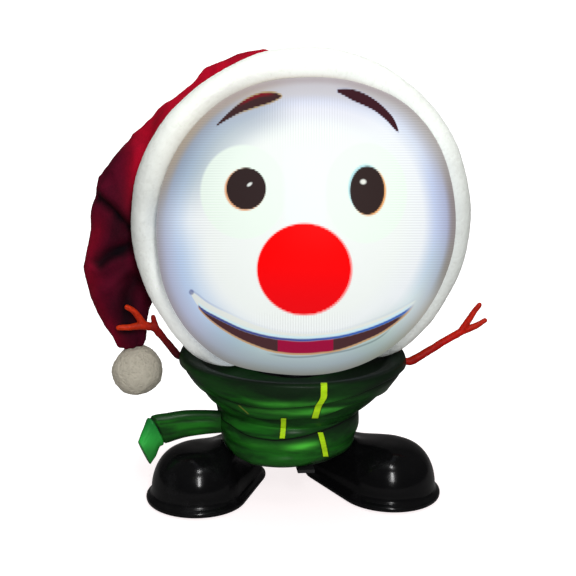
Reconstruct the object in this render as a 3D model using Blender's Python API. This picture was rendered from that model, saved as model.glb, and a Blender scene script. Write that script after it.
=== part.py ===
"""Animated tabletop snowman: a face dome lit from inside, plush hat, moulded
scarf body, twig arms and splayed boots.  Units are metres, +Z is up, the
figure faces -Y and stands on Z = 0."""
import math

import bpy
import bmesh
from mathutils import Matrix, Vector

MM = 0.001
GAP = 0.0003            # clearance between pieces that touch

# ---------------------------------------------------------------- dimensions
ORIGIN_SHIFT = (4.834 * MM, 30.532 * MM)   # moves the body axis so that the whole figure's box is centred

HEAD = (3.8, -38.0, 227.2)     # centre of the head sphere, mm from the body axis
HAT = (4.6, -38.0, 226.5)      # centre that the hat is laid out round
HEAD_R = 109.2                 # outer radius of the head sphere
DOME_WALL = 2.4
SHELL_WALL = 2.6
SPLIT_Y = -12.0                # plane where face dome and rear shell meet

TRIM_OUT = 131.2               # outer radius of the hat's plush trim
TRIM_HALF_R = 11.2             # half thickness of the trim, outwards
TRIM_HALF_Y = 16.0             # half width of the trim, front to back
TRIM_BACK = 29.0               # trim centre line lies this far behind the head centre

NECK = (3.0, 8.0)              # neck tube axis
NECK_R = 14.0

# toe of each boot: place outwards and forwards, and size; the heel
BOOT_TOES = {-1: ((76.5, -9.0), 0.988), 1: ((80.0, -11.0), 1.024)}
BOOT_HEEL = (42.0, 30.0)

WALL = 2.5                     # wall of the scarf body
# scarf body outline: (radius, height), rim downwards
BODY_OUT = [(87.0, 121.0), (88.8, 119.4), (88.8, 116.0), (87.2, 111.0), (82.6, 105.0), (77.6, 99.6),
            (75.2, 95.8), (69.6, 88.6), (63.8, 82.6), (60.0, 78.6), (58.0, 76.0), (59.2, 71.5), (59.2, 62.0),
            (56.2, 53.4), (56.2, 49.0), (53.5, 44.5), (48.0, 40.8)]
BODY_IN = [(46.2, 40.8), (46.2, 43.4), (51.0, 46.4), (53.4, 50.0), (53.6, 54.0),
           (56.5, 62.4), (56.4, 71.2), (55.2, 76.2), (58.2, 80.6), (67.2, 91.0),
           (72.6, 98.0), (75.0, 102.0), (79.4, 107.2), (77.6, 109.2), (70.0, 107.8), (58.0, 106.6), (34.0, 106.2),
           (34.0, 108.4), (58.0, 109.0), (66.0, 110.4), (71.0, 112.8), (75.0, 116.4), (79.0, 119.2), (82.6, 120.4), (85.4, 120.8)]

PLAY_ANGLE = 142.0             # place of the play button round the body, degrees from +X
DOOR_X, DOOR_Z0, DOOR_Z1 = 31.0, 47.6, 77.6
DOOR_HINGE = (0.0, 61.2, 47.2)

# ---------------------------------------------------------------- clean start
for o in list(bpy.data.objects):
    bpy.data.objects.remove(o, do_unlink=True)

ROOT = bpy.data.objects.new("frame_origin", None)
bpy.context.scene.collection.objects.link(ROOT)
ROOT.location = (ORIGIN_SHIFT[0], ORIGIN_SHIFT[1], 0.0)

MATS = {}


def mat(name, rgb, rough, metal=0.0):
    if name not in MATS:
        m = bpy.data.materials.new(name)
        m.use_nodes = True
        b = m.node_tree.nodes["Principled BSDF"]
        b.inputs["Base Color"].default_value = (rgb[0], rgb[1], rgb[2], 1.0)
        b.inputs["Roughness"].default_value = rough
        b.inputs["Metallic"].default_value = metal
        m.diffuse_color = (rgb[0], rgb[1], rgb[2], 1.0)
        MATS[name] = m
    return MATS[name]


FROST = ("frosted_dome", (0.92, 0.93, 0.95), 0.35)
WHITE = ("white_plastic", (0.85, 0.85, 0.85), 0.45)
PLUSH_RED = ("red_plush", (0.28, 0.01, 0.03), 0.95)
PLUSH_WHITE = ("white_plush", (0.88, 0.86, 0.80), 0.95)
GREEN = ("green_plastic", (0.01, 0.10, 0.02), 0.2)
BLACK = ("black_plastic", (0.006, 0.006, 0.007), 0.15)
MATT_BLACK = ("matt_black", (0.02, 0.02, 0.02), 0.5)
TWIG = ("twig_plastic", (0.42, 0.03, 0.01), 0.3)
BOARD = ("circuit_board", (0.02, 0.16, 0.06), 0.4)
METAL = ("plated_steel", (0.6, 0.6, 0.6), 0.3, 1.0)
ALU = ("aluminium", (0.7, 0.7, 0.72), 0.35, 1.0)
GLASS = ("lens_glass", (0.9, 0.95, 0.97), 0.02)
PAPER = ("cone_paper", (0.06, 0.06, 0.06), 0.8)
CELL = ("cell_jacket", (0.10, 0.12, 0.16), 0.3)
RUBBER = ("rubber", (0.03, 0.03, 0.03), 0.8)
RED_BTN = ("red_button", (0.6, 0.02, 0.02), 0.3)


# ---------------------------------------------------------------- builders
def finish(name, bm, material, pivot=None, smooth=True):
    """Make a named object from a bmesh in mm; the origin goes to the pivot."""
    bmesh.ops.recalc_face_normals(bm, faces=bm.faces)
    pv = Vector(pivot) if pivot is not None else Vector((0, 0, 0))
    for v in bm.verts:
        v.co = (v.co - pv) * MM
    me = bpy.data.meshes.new(name)
    bm.to_mesh(me)
    bm.free()
    me.materials.append(mat(*material))
    ob = bpy.data.objects.new(name, me)
    ob.location = pv * MM
    ob.parent = ROOT
    bpy.context.scene.collection.objects.link(ob)
    if smooth:
        me.shade_smooth()
        me.set_sharp_from_angle(angle=math.radians(40))
    return ob


def bm_loft(rings, closed=False):
    """Rings of equal point count joined by quads; ends capped unless closed."""
    bm = bmesh.new()
    vs = [[bm.verts.new(p) for p in ring] for ring in rings]
    n = len(rings[0])
    last = len(rings) if closed else len(rings) - 1
    for i in range(last):
        a, b = vs[i], vs[(i + 1) % len(vs)]
        for j in range(n):
            k = (j + 1) % n
            bm.faces.new((a[j], a[k], b[k], b[j]))
    if not closed:
        bm.faces.new(list(reversed(vs[0])))
        bm.faces.new(vs[-1])
    return bm


def bm_lathe(profile, segs, matrix=None, loop=False):
    """Turn (radius, height) points about local Z; points at radius 0 are poles."""
    bm = bmesh.new()
    rows = []
    for r, z in profile:
        if r < 1e-6:
            rows.append([bm.verts.new((0, 0, z))])
        else:
            rows.append([bm.verts.new((r * math.cos(2 * math.pi * i / segs),
                                       r * math.sin(2 * math.pi * i / segs), z)) for i in range(segs)])
    pairs = list(zip(rows, rows[1:]))
    if loop:
        pairs.append((rows[-1], rows[0]))
    for a, b in pairs:
        for i in range(segs):
            k = (i + 1) % segs
            if len(a) == 1 and len(b) == 1:
                continue
            if len(a) == 1:
                bm.faces.new((a[0], b[i], b[k]))
            elif len(b) == 1:
                bm.faces.new((a[i], b[0], a[k]))
            else:
                bm.faces.new((a[i], b[i], b[k], a[k]))
    if matrix is not None:
        bmesh.ops.transform(bm, matrix=matrix, verts=bm.verts)
    return bm


def aim(origin, direction):
    """Matrix that puts local Z along a direction, at an origin."""
    q = Vector(direction).to_track_quat('Z', 'Y')
    return Matrix.Translation(Vector(origin)) @ q.to_matrix().to_4x4()


def bm_box(lo, hi, matrix=None, bevel=0.0):
    bm = bmesh.new()
    bmesh.ops.create_cube(bm, size=1.0)
    c = [(a + b) / 2 for a, b in zip(lo, hi)]
    s = [b - a for a, b in zip(lo, hi)]
    for v in bm.verts:
        v.co = Vector((c[0] + v.co.x * s[0], c[1] + v.co.y * s[1], c[2] + v.co.z * s[2]))
    if bevel > 0:
        bmesh.ops.bevel(bm, geom=bm.edges, offset=bevel, segments=1, affect='EDGES', clamp_overlap=True)
    if matrix is not None:
        bmesh.ops.transform(bm, matrix=matrix, verts=bm.verts)
    return bm


def bm_cyl(p0, p1, r, segs=20, r2=None):
    d = Vector(p1) - Vector(p0)
    r2 = r if r2 is None else r2
    return bm_lathe([(0, 0), (r, 0), (r2, d.length), (0, d.length)], segs, aim(p0, d))


def bm_tube(p0, p1, r_out, r_in, segs=24):
    d = Vector(p1) - Vector(p0)
    return bm_lathe([(r_out, 0), (r_out, d.length), (r_in, d.length), (r_in, 0)], segs, aim(p0, d), loop=True)


CUTTERS = []


def tool(bm):
    """A cutter or joining body: hidden, drawn as wire, no node of its own."""
    bmesh.ops.recalc_face_normals(bm, faces=bm.faces)
    for v in bm.verts:
        v.co = v.co * MM
    me = bpy.data.meshes.new("tool_%02d" % len(CUTTERS))
    bm.to_mesh(me)
    bm.free()
    ob = bpy.data.objects.new("tool_%02d" % len(CUTTERS), me)
    ob.parent = ROOT
    ob.hide_render = True
    ob.display_type = 'WIRE'
    bpy.context.scene.collection.objects.link(ob)
    CUTTERS.append(ob)
    return ob


def boole(ob, bm, op='DIFFERENCE'):
    m = ob.modifiers.new(op.lower(), 'BOOLEAN')
    m.operation = op
    m.solver = 'EXACT'
    m.object = tool(bm)
    return ob


def smooth_step(t):
    t = max(0.0, min(1.0, t))
    return t * t * (3 - 2 * t)


# ---------------------------------------------------------------- head shells
HM = aim(HEAD, (0, 1, 0))          # local Z runs backwards (+Y) through the head centre


def cap_profile(r_out, r_in, y0, y1, n):
    """Shell between two planes y0..y1 measured from the head centre; y0 or y1
    may lie past the pole."""
    pts = []
    a0 = math.acos(max(-1, min(1, y0 / r_out)))
    a1 = math.acos(max(-1, min(1, y1 / r_out)))
    for i in range(n + 1):
        a = a0 + (a1 - a0) * i / n
        pts.append((max(0.0, r_out * math.sin(a)), r_out * math.cos(a)))
    b0 = math.acos(max(-1, min(1, y0 / r_in)))
    b1 = math.acos(max(-1, min(1, y1 / r_in)))
    for i in range(n + 1):
        a = b1 + (b0 - b1) * i / n
        pts.append((max(0.0, r_in * math.sin(a)), r_in * math.cos(a)))
    return [(0.0 if r < 1e-4 else r, z) for r, z in pts]


split = SPLIT_Y - HEAD[1]
prof = cap_profile(HEAD_R, HEAD_R - DOME_WALL, -HEAD_R, split - 0.15, 9)
# front pole is solid through its wall: outline from pole to rim and back to pole
face_dome = finish("face_dome", bm_lathe(prof, 40, HM), FROST)

prof = cap_profile(HEAD_R, HEAD_R - SHELL_WALL, HEAD_R, split + 0.15, 7)
rear = finish("head_rear_shell", bm_lathe(prof, 36, HM), WHITE)
boole(rear, bm_cyl((NECK[0], NECK[1], 90), (NECK[0], NECK[1], 150), NECK_R + 0.4, 24))

ring = [(104.0, split - 6.0), (102.9, split), (101.2, split + 6.0), (98.2, split + 6.0), (99.9, split), (101.0, split - 6.0)]
finish("dome_clamp_ring", bm_lathe(ring, 36, HM, loop=True), WHITE)


# ---------------------------------------------------------------- hat
def trim_polar(phi):
    """Angle of the trim's centre line from the backward axis; phi is 0 at the top."""
    a = abs(phi)
    rc = TRIM_OUT - TRIM_HALF_R
    th0 = math.degrees(math.atan2(rc, TRIM_BACK))
    return th0 + (47.0 - th0) * smooth_step((a - 140.0) / 40.0)


def head_point(rho, theta, phi):
    """Point by polar angle theta from +Y and phi round from the top, towards +X."""
    th, ph = math.radians(theta), math.radians(phi)
    return Vector((HAT[0] + rho * math.sin(th) * math.sin(ph),
                   HAT[1] + rho * math.cos(th),
                   HAT[2] + rho * math.sin(th) * math.cos(ph)))


TRIM_RHO = math.hypot(TRIM_OUT - TRIM_HALF_R, TRIM_BACK)
N_TRIM = 44
rings = []
for i in range(N_TRIM):
    phi = -180 + 360.0 * i / N_TRIM
    c = head_point(TRIM_RHO, trim_polar(phi), phi)
    e = 0.5
    c1 = head_point(TRIM_RHO, trim_polar(phi - e), phi - e)
    c2 = head_point(TRIM_RHO, trim_polar(phi + e), phi + e)
    tan = (c2 - c1).normalized()
    out = c - Vector(HAT)
    yv = Vector((0, 1, 0))
    # outward and front-to-back directions, square to the path
    ov = Vector((out.x, 0, out.z))
    low = smooth_step((abs(phi) - 140.0) / 40.0)
    ov = (ov.normalized() * (1 - low) + out.normalized() * low)
    ov = (ov - tan * ov.dot(tan)).normalized()
    sv = tan.cross(ov).normalized()
    a = TRIM_HALF_R * (1 - 0.22 * low)
    b = TRIM_HALF_Y * (1 - 0.35 * low)
    ring_pts = []
    for k in range(10):
        t = 2 * math.pi * k / 10
        ring_pts.append(c + ov * (a * math.cos(t)) + sv * (b * math.sin(t)))
    rings.append(ring_pts)
finish("hat_trim", bm_loft(rings, closed=True), PLUSH_WHITE)

# the bag of the hat: a crown over the rear of the head that swells to the
# figure's right-hand side and folds over there into a hanging tail
N_PHI, N_S = 32, 6
def crown_rho(s, phi):
    """Outer radius of the crown: puffed up behind the trim from the top of the
    head round to the side where the hat falls over, close-fitting elsewhere."""
    w = smooth_step((phi + 112) / 50) * smooth_step((14 - phi) / 34)
    g = smooth_step((s + 0.10) / 0.22) * (1 - smooth_step((s - 0.12) / 0.75))
    low = smooth_step((abs(phi) - 110) / 50)
    return 118.0 + 39.0 * w * g - 3.0 * low


outer, inner = [], []
for j in range(N_S):
    s = (j / N_S) ** 1.15
    ro, ri = [], []
    for i in range(N_PHI):
        phi = -180 + 360.0 * i / N_PHI
        th_edge = trim_polar(phi) - 10.2 + 1.2 * smooth_step((abs(phi) - 140) / 40)
        d = (head_point(1.0, th_edge * (1 - s), phi) - Vector(HAT)).normalized()
        ro.append(Vector(HAT) + d * crown_rho(s, phi))
        ri.append(Vector(HAT) + d * 111.4)
    outer.append(ro)
    inner.append(ri)
bm = bmesh.new()
vo = [[bm.verts.new(p) for p in r] for r in outer]
vi = [[bm.verts.new(p) for p in r] for r in inner]
po = bm.verts.new(Vector(HAT) + Vector((0, 118.0, 0)))
pi_ = bm.verts.new(Vector(HAT) + Vector((0, 111.4, 0)))
for i in range(N_PHI):
    k = (i + 1) % N_PHI
    for j in range(N_S - 1):
        bm.faces.new((vo[j][i], vo[j][k], vo[j + 1][k], vo[j + 1][i]))
        bm.faces.new((vi[j][i], vi[j + 1][i], vi[j + 1][k], vi[j][k]))
    bm.faces.new((vo[-1][i], vo[-1][k], po))
    bm.faces.new((vi[-1][i], pi_, vi[-1][k]))
    bm.faces.new((vo[0][i], vi[0][i], vi[0][k], vo[0][k]))
bag = finish("hat_bag", bm, PLUSH_RED)

# folded tail: elliptical sections along a bent path (centre, half widths across and deep)
TAIL = [((-91, 44, 273), 28, 22, (-0.6, 0.1, -0.5)), ((-103, 41, 254), 33, 26, (-0.5, 0, -0.8)),
        ((-117, 39, 239), 37, 26, (-0.25, 0, -1)), ((-126, 38, 220), 34, 24, (-0.1, 0, -1)),
        ((-130.5, 37, 200), 32, 22, (-0.05, 0, -1)), ((-133.5, 35, 181), 30.5, 20, (0, 0, -1)),
        ((-133.5, 32, 162), 27, 18, (0, 0, -1)), ((-133, 28, 146), 21, 15, (0, 0, -1)),
        ((-130, 25, 132), 15.5, 12.5, (0.1, 0, -1)), ((-128, 22, 122.6), 10.5, 9.5, (0.15, 0, -1))]
rings = []
for c, a, b, d in TAIL:
    d = Vector(d).normalized()
    side = d.cross(Vector((0, 1, 0))).normalized()
    deep = side.cross(d).normalized()
    rings.append([Vector(c) + side * (a * math.cos(2 * math.pi * k / 14)) + deep * (b * math.sin(2 * math.pi * k / 14))
                  for k in range(14)])
boole(bag, bm_loft(rings), 'UNION')
boole(bag, bm_lathe([(0, -111.4)] + [(111.4 * math.sin(math.pi * i / 12), -111.4 * math.cos(math.pi * i / 12))
                                     for i in range(1, 12)] + [(0, 111.4)], 32, aim(HAT, (0, 1, 0))))

# pompom: a slightly uneven ball, dimpled where the tail is sewn in
bm = bmesh.new()
bmesh.ops.create_icosphere(bm, subdivisions=3, radius=1.0)
for v in bm.verts:
    k = 1 + 0.04 * math.sin(5 * v.co.x + 2 * v.co.z) * math.cos(4 * v.co.y)
    v.co = Vector((-122.5 + v.co.x * 20.4 * k, 20 + v.co.y * 20.0 * k, 100.6 + v.co.z * 20.8 * k))
finish("hat_pompom", bm, PLUSH_WHITE)

# ---------------------------------------------------------------- scarf body
ELL = 0.97                       # the body is a little flatter front to back


def waist(x, z):
    """Across the figure the body is narrower below the collar, on the +X side."""
    t = 1.0 - smooth_step((z - 76.0) / 22.0)
    return x * (1.0 - 0.045 * t) - 2.7 * t


def body_half(name, a0, a1, n):
    rings = []
    for i in range(n + 1):
        a = math.radians(a0 + (a1 - a0) * i / n)
        rings.append([(waist(r * math.cos(a), z), r * ELL * math.sin(a), z) for r, z in BODY_OUT + BODY_IN])
    return finish(name, bm_loft(rings), GREEN)


front = body_half("scarf_front_shell", 180.2, 359.8, 18)
back = body_half("scarf_rear_shell", 0.2, 179.8, 18)

# arms: each turns on a level peg through the collar wall; the point where the
# peg's axis meets the wall
ARM_L0, ARM_R0 = Vector((-87.0, 8.8, 114.6)), Vector((87.0, -10.1, 112.6))
L_ELBOW, R_ELBOW = Vector((-91.0, 8.7, 114.5)), Vector((92.6, -10.2, 112.4))
PEG_R, BORE_R = 2.85, 3.15
L_SIDE, L_TWIG = Vector((-107.6, 4.0, 138.4)), Vector((-110.3, 3.0, 149.6))
L_FORK, L_T1, L_T2 = Vector((-117.2, 2.0, 142.2)), Vector((-131.4, 0.0, 158.6)), Vector((-138.6, 0.0, 141.2))
R_FORK, R_T1, R_T2 = Vector((133.3, -12.0, 136.9)), Vector((147.8, -12.6, 160.3)), Vector((153.9, -11.4, 146.6))


def limb(p0, p1, r0, r1, segs=10):
    d = Vector(p1) - Vector(p0)
    return bm_lathe([(0, 0), (r0, 0), (r1, d.length - r1 * 0.6), (r1 * 0.55, d.length), (0, d.length)], segs,
                    aim(p0, d))


# left arm (at -X): peg, stem, two-pronged hand and a short side twig
armL = finish("left_arm", limb(L_ELBOW + Vector((-1.6, -0.05, 0.05)), (-78.6, 8.8, 114.6), 2.8, PEG_R), TWIG, pivot=ARM_L0)
boole(armL, limb(L_ELBOW, L_SIDE, PEG_R, 2.7), 'UNION')
boole(armL, limb(L_SIDE + (L_SIDE - L_ELBOW).normalized() * -2.5, L_FORK, 2.75, 3.2), 'UNION')
boole(armL, limb(L_FORK + (L_FORK - L_T1).normalized() * 2.5, L_T1, 2.9, 2.0), 'UNION')
boole(armL, limb(L_FORK + (L_FORK - L_T2).normalized() * 3.0, L_T2, 2.7, 1.9), 'UNION')
boole(armL, limb(L_SIDE + Vector((1.0, 0.2, -1.6)), L_TWIG, 2.5, 1.9), 'UNION')
# right arm (at +X): peg, long stem and two prongs
armR = finish("right_arm", limb(R_ELBOW + Vector((1.9, -0.05, 0.05)), (78.6, -10.1, 112.6), 2.8, PEG_R), TWIG, pivot=ARM_R0)
boole(armR, limb(R_ELBOW, R_FORK, PEG_R, 2.9), 'UNION')
boole(armR, limb(R_FORK + (R_FORK - R_T1).normalized() * 3.0, R_T1, 2.7, 1.9), 'UNION')
boole(armR, limb(R_FORK + (R_FORK - R_T2).normalized() * 3.0, R_T2, 2.7, 1.9), 'UNION')
# battery door, cut out of the rear shell
doorcut = ((-DOOR_X, 30, DOOR_Z0), (DOOR_X, 75, DOOR_Z1))
rings = []
for i in range(7):
    a = math.radians(50 + 80 * i / 6)
    rings.append([(waist(r * math.cos(a), 60.0), r * ELL * math.sin(a), z) for r, z in
                  [(60.0, 80), (59.8, 76.0), (59.0, 71.5), (59.2, 62.0), (57.6, 56.0), (56.0, 52.8), (56.2, 49.0),
                   (54.6, 46.4), (50.9, 46.4), (53.2, 50.4), (53.2, 53.4), (55.0, 57.0), (56.3, 62.4),
                   (56.2, 71.2), (56.9, 76.0), (57.2, 80)]])
door = finish("battery_door", bm_loft(rings), GREEN, pivot=DOOR_HINGE)
boole(door, bm_box((-DOOR_X + 0.3, 30, DOOR_Z0 + 0.3), (DOOR_X - 0.3, 75, DOOR_Z1 - 0.3)), 'INTERSECT')
boole(back, bm_box(*doorcut))
# hinge: two knuckles on the door, one between them on the shell, and a pin
hy, hz = DOOR_HINGE[1], DOOR_HINGE[2]
for x0, x1 in ((-13.0, -6.4), (6.4, 13.0)):
    boole(door, bm_tube((x0, hy, hz), (x1, hy, hz), 2.3, 1.05, 14), 'UNION')
    boole(door, bm_box((x0, 51.0, 48.5), (x1, hy + 0.2, 50.6)), 'UNION')
    boole(door, bm_box((x0, hy - 1.0, 48.3), (x1, hy + 1.2, 50.6)), 'UNION')
boole(back, bm_tube((-6.0, hy, hz), (6.0, hy, hz), 2.3, 1.05, 14), 'UNION')
boole(back, bm_box((-6.0, 51.8, 44.6), (6.0, hy - 0.6, 46.6)), 'UNION')
boole(back, bm_cyl((-40, hy, hz), (40, hy, hz), 1.0, 14))
boole(back, bm_box((-13.6, 57.4, 43.0), (-6.25, 66, 53.0)))
boole(back, bm_box((6.25, 57.4, 43.0), (13.6, 66, 53.0)))
boole(door, bm_cyl((-40, hy, hz), (40, hy, hz), 1.0, 14))
finish("battery_door_pin", bm_cyl((-13.0, hy, hz), (13.0, hy, hz), 0.93, 12), METAL)
finish("battery_door_screw", bm_lathe([(0, 0), (1.2, 0), (1.2, 5.6), (2.7, 5.6), (2.4, 7.0), (0, 7.0)], 14,
                                      aim((0, 52.4, 72.0), (0, 1, 0))), METAL)
boole(door, bm_cyl((0, 40, 72.0), (0, 70, 72.0), 1.45, 14))

# play button at the back, by the door
pa = math.radians(PLAY_ANGLE)
PN = Vector((math.cos(pa), math.sin(pa), 0))
PZ = Vector((0, 0, 64.0))
boole(back, bm_cyl(PN * 48 + PZ, PN * 70 + PZ, 6.4, 24))
finish("play_button", bm_lathe([(0, 0), (7.6, 0), (7.6, 1.4), (6.0, 1.4), (6.0, 7.6), (5.0, 8.6), (0, 8.9)], 24,
                               aim(PN * 51.3 + PZ, PN)), RED_BTN, pivot=PN * 51.3 + PZ)
finish("play_button_switch", bm_box((-3, -3, 0), (3, 3, 4.4), aim(PN * 44.6 + PZ, PN)), MATT_BLACK)

# power socket, facing backwards
JX, JZ = 37.4, 63.0
boole(back, bm_cyl((JX, 20, JZ), (JX, 60, JZ), 4.5, 20))
jack = finish("power_socket", bm_box((JX - 4.4, 20.6, 58.0), (JX + 3.8, 27.4, 68.0)), MATT_BLACK)
boole(jack, bm_cyl((JX, 26, JZ), (JX, 40.2, JZ), 4.1, 20), 'UNION')
boole(jack, bm_cyl((JX, 29.0, JZ), (JX, 50, JZ), 3.2, 20))

# volume wheel, its edge showing through a slot at the side
VX, VY = 46.2, 10.9
boole(back, bm_box((VX - 4.2, 1.0, 63.9), (VX + 14.8, 20.9, 68.1)))
vol = finish("volume_wheel", bm_lathe([(0, 64.9), (1.6, 64.9), (8.6, 64.9), (9.0, 65.3), (9.0, 66.7), (8.6, 67.1), (0, 67.1)],
                                      24, Matrix.Translation((VX, VY, 0))), MATT_BLACK, pivot=(VX, VY, 66))
finish("volume_control", bm_box((VX - 5.5, VY - 4.0, 60.2), (VX + 1.6, VY + 4.0, 64.5)), MATT_BLACK)

# each shell carries a boss on its inside, bored for the arm's peg
for shell, b, sx, reach in ((back, ARM_L0, -1, 84.6), (front, ARM_R0, 1, 83.6)):
    boole(shell, bm_cyl((sx * 77.6, b.y, b.z), (sx * reach, b.y, b.z), 5.2, 14), 'UNION')
    boole(shell, bm_cyl((sx * 70, b.y, b.z), (sx * 100, b.y, b.z), BORE_R, 12))

# base plate under the body: sound holes, switch slot, locating tab at the front
base = finish("base_plate", bm_lathe([(0, 40.2), (45.8, 40.2), (45.8, 42.6), (0, 42.6)], 40,
                                     Matrix.Translation((-2.7, 0, 0)) @ Matrix.Diagonal((0.955, ELL, 1, 1))), MATT_BLACK)
boole(base, bm_box((-1.5, -52.6, 37.9), (11.5, -42.0, 40.45)), 'UNION')
for k in range(-2, 3):
    w = math.sqrt(15.5 ** 2 - (k * 5.4) ** 2)
    boole(base, bm_box((-w, -20 + k * 5.4 - 1.1, 37), (w, -20 + k * 5.4 + 1.1, 46)))
boole(base, bm_box((24.7, -9.2, 37), (29.3, 3.2, 46)))

finish("mode_switch_knob", bm_box((25.1, -5.6, 36.6), (28.9, -0.4, 42.8), bevel=0.4), MATT_BLACK, pivot=(27, -3, 42))
finish("mode_switch_body", bm_box((22.4, -9.4, 43.2), (31.6, 3.4, 48.6)), METAL)

# top pan of the body and the neck tube
pan = finish("top_pan", bm_lathe([(NECK_R + 0.4, 96.4), (69.6, 96.4), (71.2, 98.8), (62, 97.9), (NECK_R + 0.4, 98.6)], 40,
                                 loop=True), MATT_BLACK)
for v in pan.data.vertices:
    r = math.hypot(v.co.x, v.co.y) / MM
    k = 1.0 if r > 40 else 0.0
    v.co.y *= ELL if k else 1.0
    if not k:
        v.co.x += NECK[0] * MM
        v.co.y += NECK[1] * MM
finish("neck_tube", bm_lathe([(NECK_R, 88.0), (NECK_R, 150.0), (11.0, 150.0), (11.0, 90.0), (11.0, 88.0)], 24,
                             Matrix.Translation((NECK[0], NECK[1], 0)), loop=True), MATT_BLACK)

# scarf tail: a flat moulded strap with its end folded down and forwards
# each section: centre, half height, half thickness, direction of the strap, direction of its height
STRAP = [((-60.8, -9, 65.2), 9.0, 4.8, (-1, 0, 0.02), (0, 0, 1)), ((-72, -10, 65.6), 9.8, 5.0, (-1, -0.05, 0), (0, 0, 1)),
         ((-86, -11, 64.8), 10.9, 5.0, (-1, -0.06, -0.08), (0, 0, 1)), ((-99, -12, 62.6), 11.9, 4.8, (-1, -0.1, -0.2), (-0.08, 0, 1)),
         ((-109.4, -13.2, 60.2), 12.6, 4.4, (-0.8, -0.45, -0.6), (-0.27, 0, 0.96)),
         ((-114.4, -16.8, 51.8), 12.0, 4.0, (-0.46, -0.4, -0.84), (-0.38, 0.05, 0.92)),
         ((-118.2, -20.0, 45.2), 10.2, 3.6, (-0.46, -0.4, -0.84), (-0.44, 0.1, 0.9))]
# a rounded strap section; past the crease the sections stand oblique to the strap
rings = []
for c, hh, tt, d, up in STRAP:
    up = Vector(up).normalized()
    th = Vector(d).cross(up).normalized()
    pts = []
    for k in range(12):
        t = 2 * math.pi * k / 12
        cu, su = math.cos(t), math.sin(t)
        e = 0.55
        pts.append(Vector(c) + up * (hh * math.copysign(abs(cu) ** e, cu)) + th * (tt * math.copysign(abs(su) ** e, su)))
    rings.append(pts)
tailob = finish("scarf_tail", bm_loft(rings), GREEN)

# ---------------------------------------------------------------- boots


def boot_outline(side, toe, r1, heel, r2, z, n=26):
    pts = []
    ax = Vector((toe[0] - heel[0], toe[1] - heel[1]))
    for k in range(n):
        a = 2 * math.pi * k / n
        d = Vector((math.cos(a), math.sin(a)))
        if ax.dot(d) + (r1 - r2) > 0:
            p = (toe[0] + r1 * d.x, toe[1] + r1 * d.y)
        else:
            p = (heel[0] + r2 * d.x, heel[1] + r2 * d.y)
        pts.append(Vector((side * p[0], p[1], z)))
    return pts


def lerp2(a, b, t):
    return (a[0] + (b[0] - a[0]) * t, a[1] + (b[1] - a[1]) * t)


# (height, toe radius, heel radius, place of the second circle between heel 0 and toe 1)
BOOT_OUTER = [(1.4, 40.2, 24.2, 0), (3.6, 41.0, 25.0, 0), (6.2, 40.4, 24.4, 0), (8.8, 36.6, 22.0, 0),
              (16.0, 35.8, 20.8, 0), (25.4, 33.8, 20.2, 0), (33.2, 30.2, 19.6, 0), (39.4, 25.4, 18.6, 0.03),
              (39.8, 24.8, 11.2, 0.45), (43.0, 20.6, 8.0, 0.57), (45.4, 13.4, 5.4, 0.69), (46.6, 5.0, 3.0, 0.84)]
BOOT_INNER = [(37.8, 22.6, 14.2, 0.42), (33.2, 27.2, 17.0, 0.05), (25.4, 31.2, 17.4, 0), (16.0, 33.0, 18.0, 0),
              (8.8, 34.0, 19.4, 0), (4.2, 36.6, 21.0, 0), (1.4, 36.6, 21.0, 0)]
for side, nm in ((-1, "left"), (1, "right")):
    BOOT_TOE, TOE_K = BOOT_TOES[side]
    rings = [boot_outline(side, BOOT_TOE, r1 * TOE_K, lerp2(BOOT_HEEL, BOOT_TOE, s), r2, z) for z, r1, r2, s in BOOT_OUTER]
    bm = bmesh.new()
    vo = [[bm.verts.new(p) for p in r] for r in rings]
    inn = [boot_outline(side, BOOT_TOE, r1 * TOE_K, lerp2(BOOT_HEEL, BOOT_TOE, s), r2, z) for z, r1, r2, s in BOOT_INNER]
    vi = [[bm.verts.new(p) for p in r] for r in inn]
    n = 26
    rows = vo
    for a, b in zip(rows, rows[1:]):
        for j in range(n):
            k = (j + 1) % n
            bm.faces.new((a[j], a[k], b[k], b[j]))
    bm.faces.new(vo[-1])
    for a, b in zip(vi, vi[1:]):
        for j in range(n):
            k = (j + 1) % n
            bm.faces.new((a[j], a[k], b[k], b[j]))
    bm.faces.new(vi[0])
    for j in range(n):
        k = (j + 1) % n
        bm.faces.new((vo[0][j], vo[0][k], vi[-1][k], vi[-1][j]))
    finish(nm + "_boot", bm, BLACK)
    # sole plate closes the boot from below
    sole = [boot_outline(side, BOOT_TOE, r1 * TOE_K, BOOT_HEEL, r2, z) for z, r1, r2 in
            ((1.2, 36.0, 20.4), (3.8, 36.0, 20.4))]
    finish(nm + "_sole_plate", bm_loft(sole), MATT_BLACK, smooth=False)
    for pn, c, r in (("toe", BOOT_TOE, 12.0), ("heel", BOOT_HEEL, 9.0)):
        finish("%s_%s_pad" % (nm, pn), bm_lathe([(0, 0), (r - 0.4, 0), (r, 0.4), (r, 0.9), (0, 0.9)], 20,
                                                Matrix.Translation((side * c[0], c[1], 0))), RUBBER)

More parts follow.
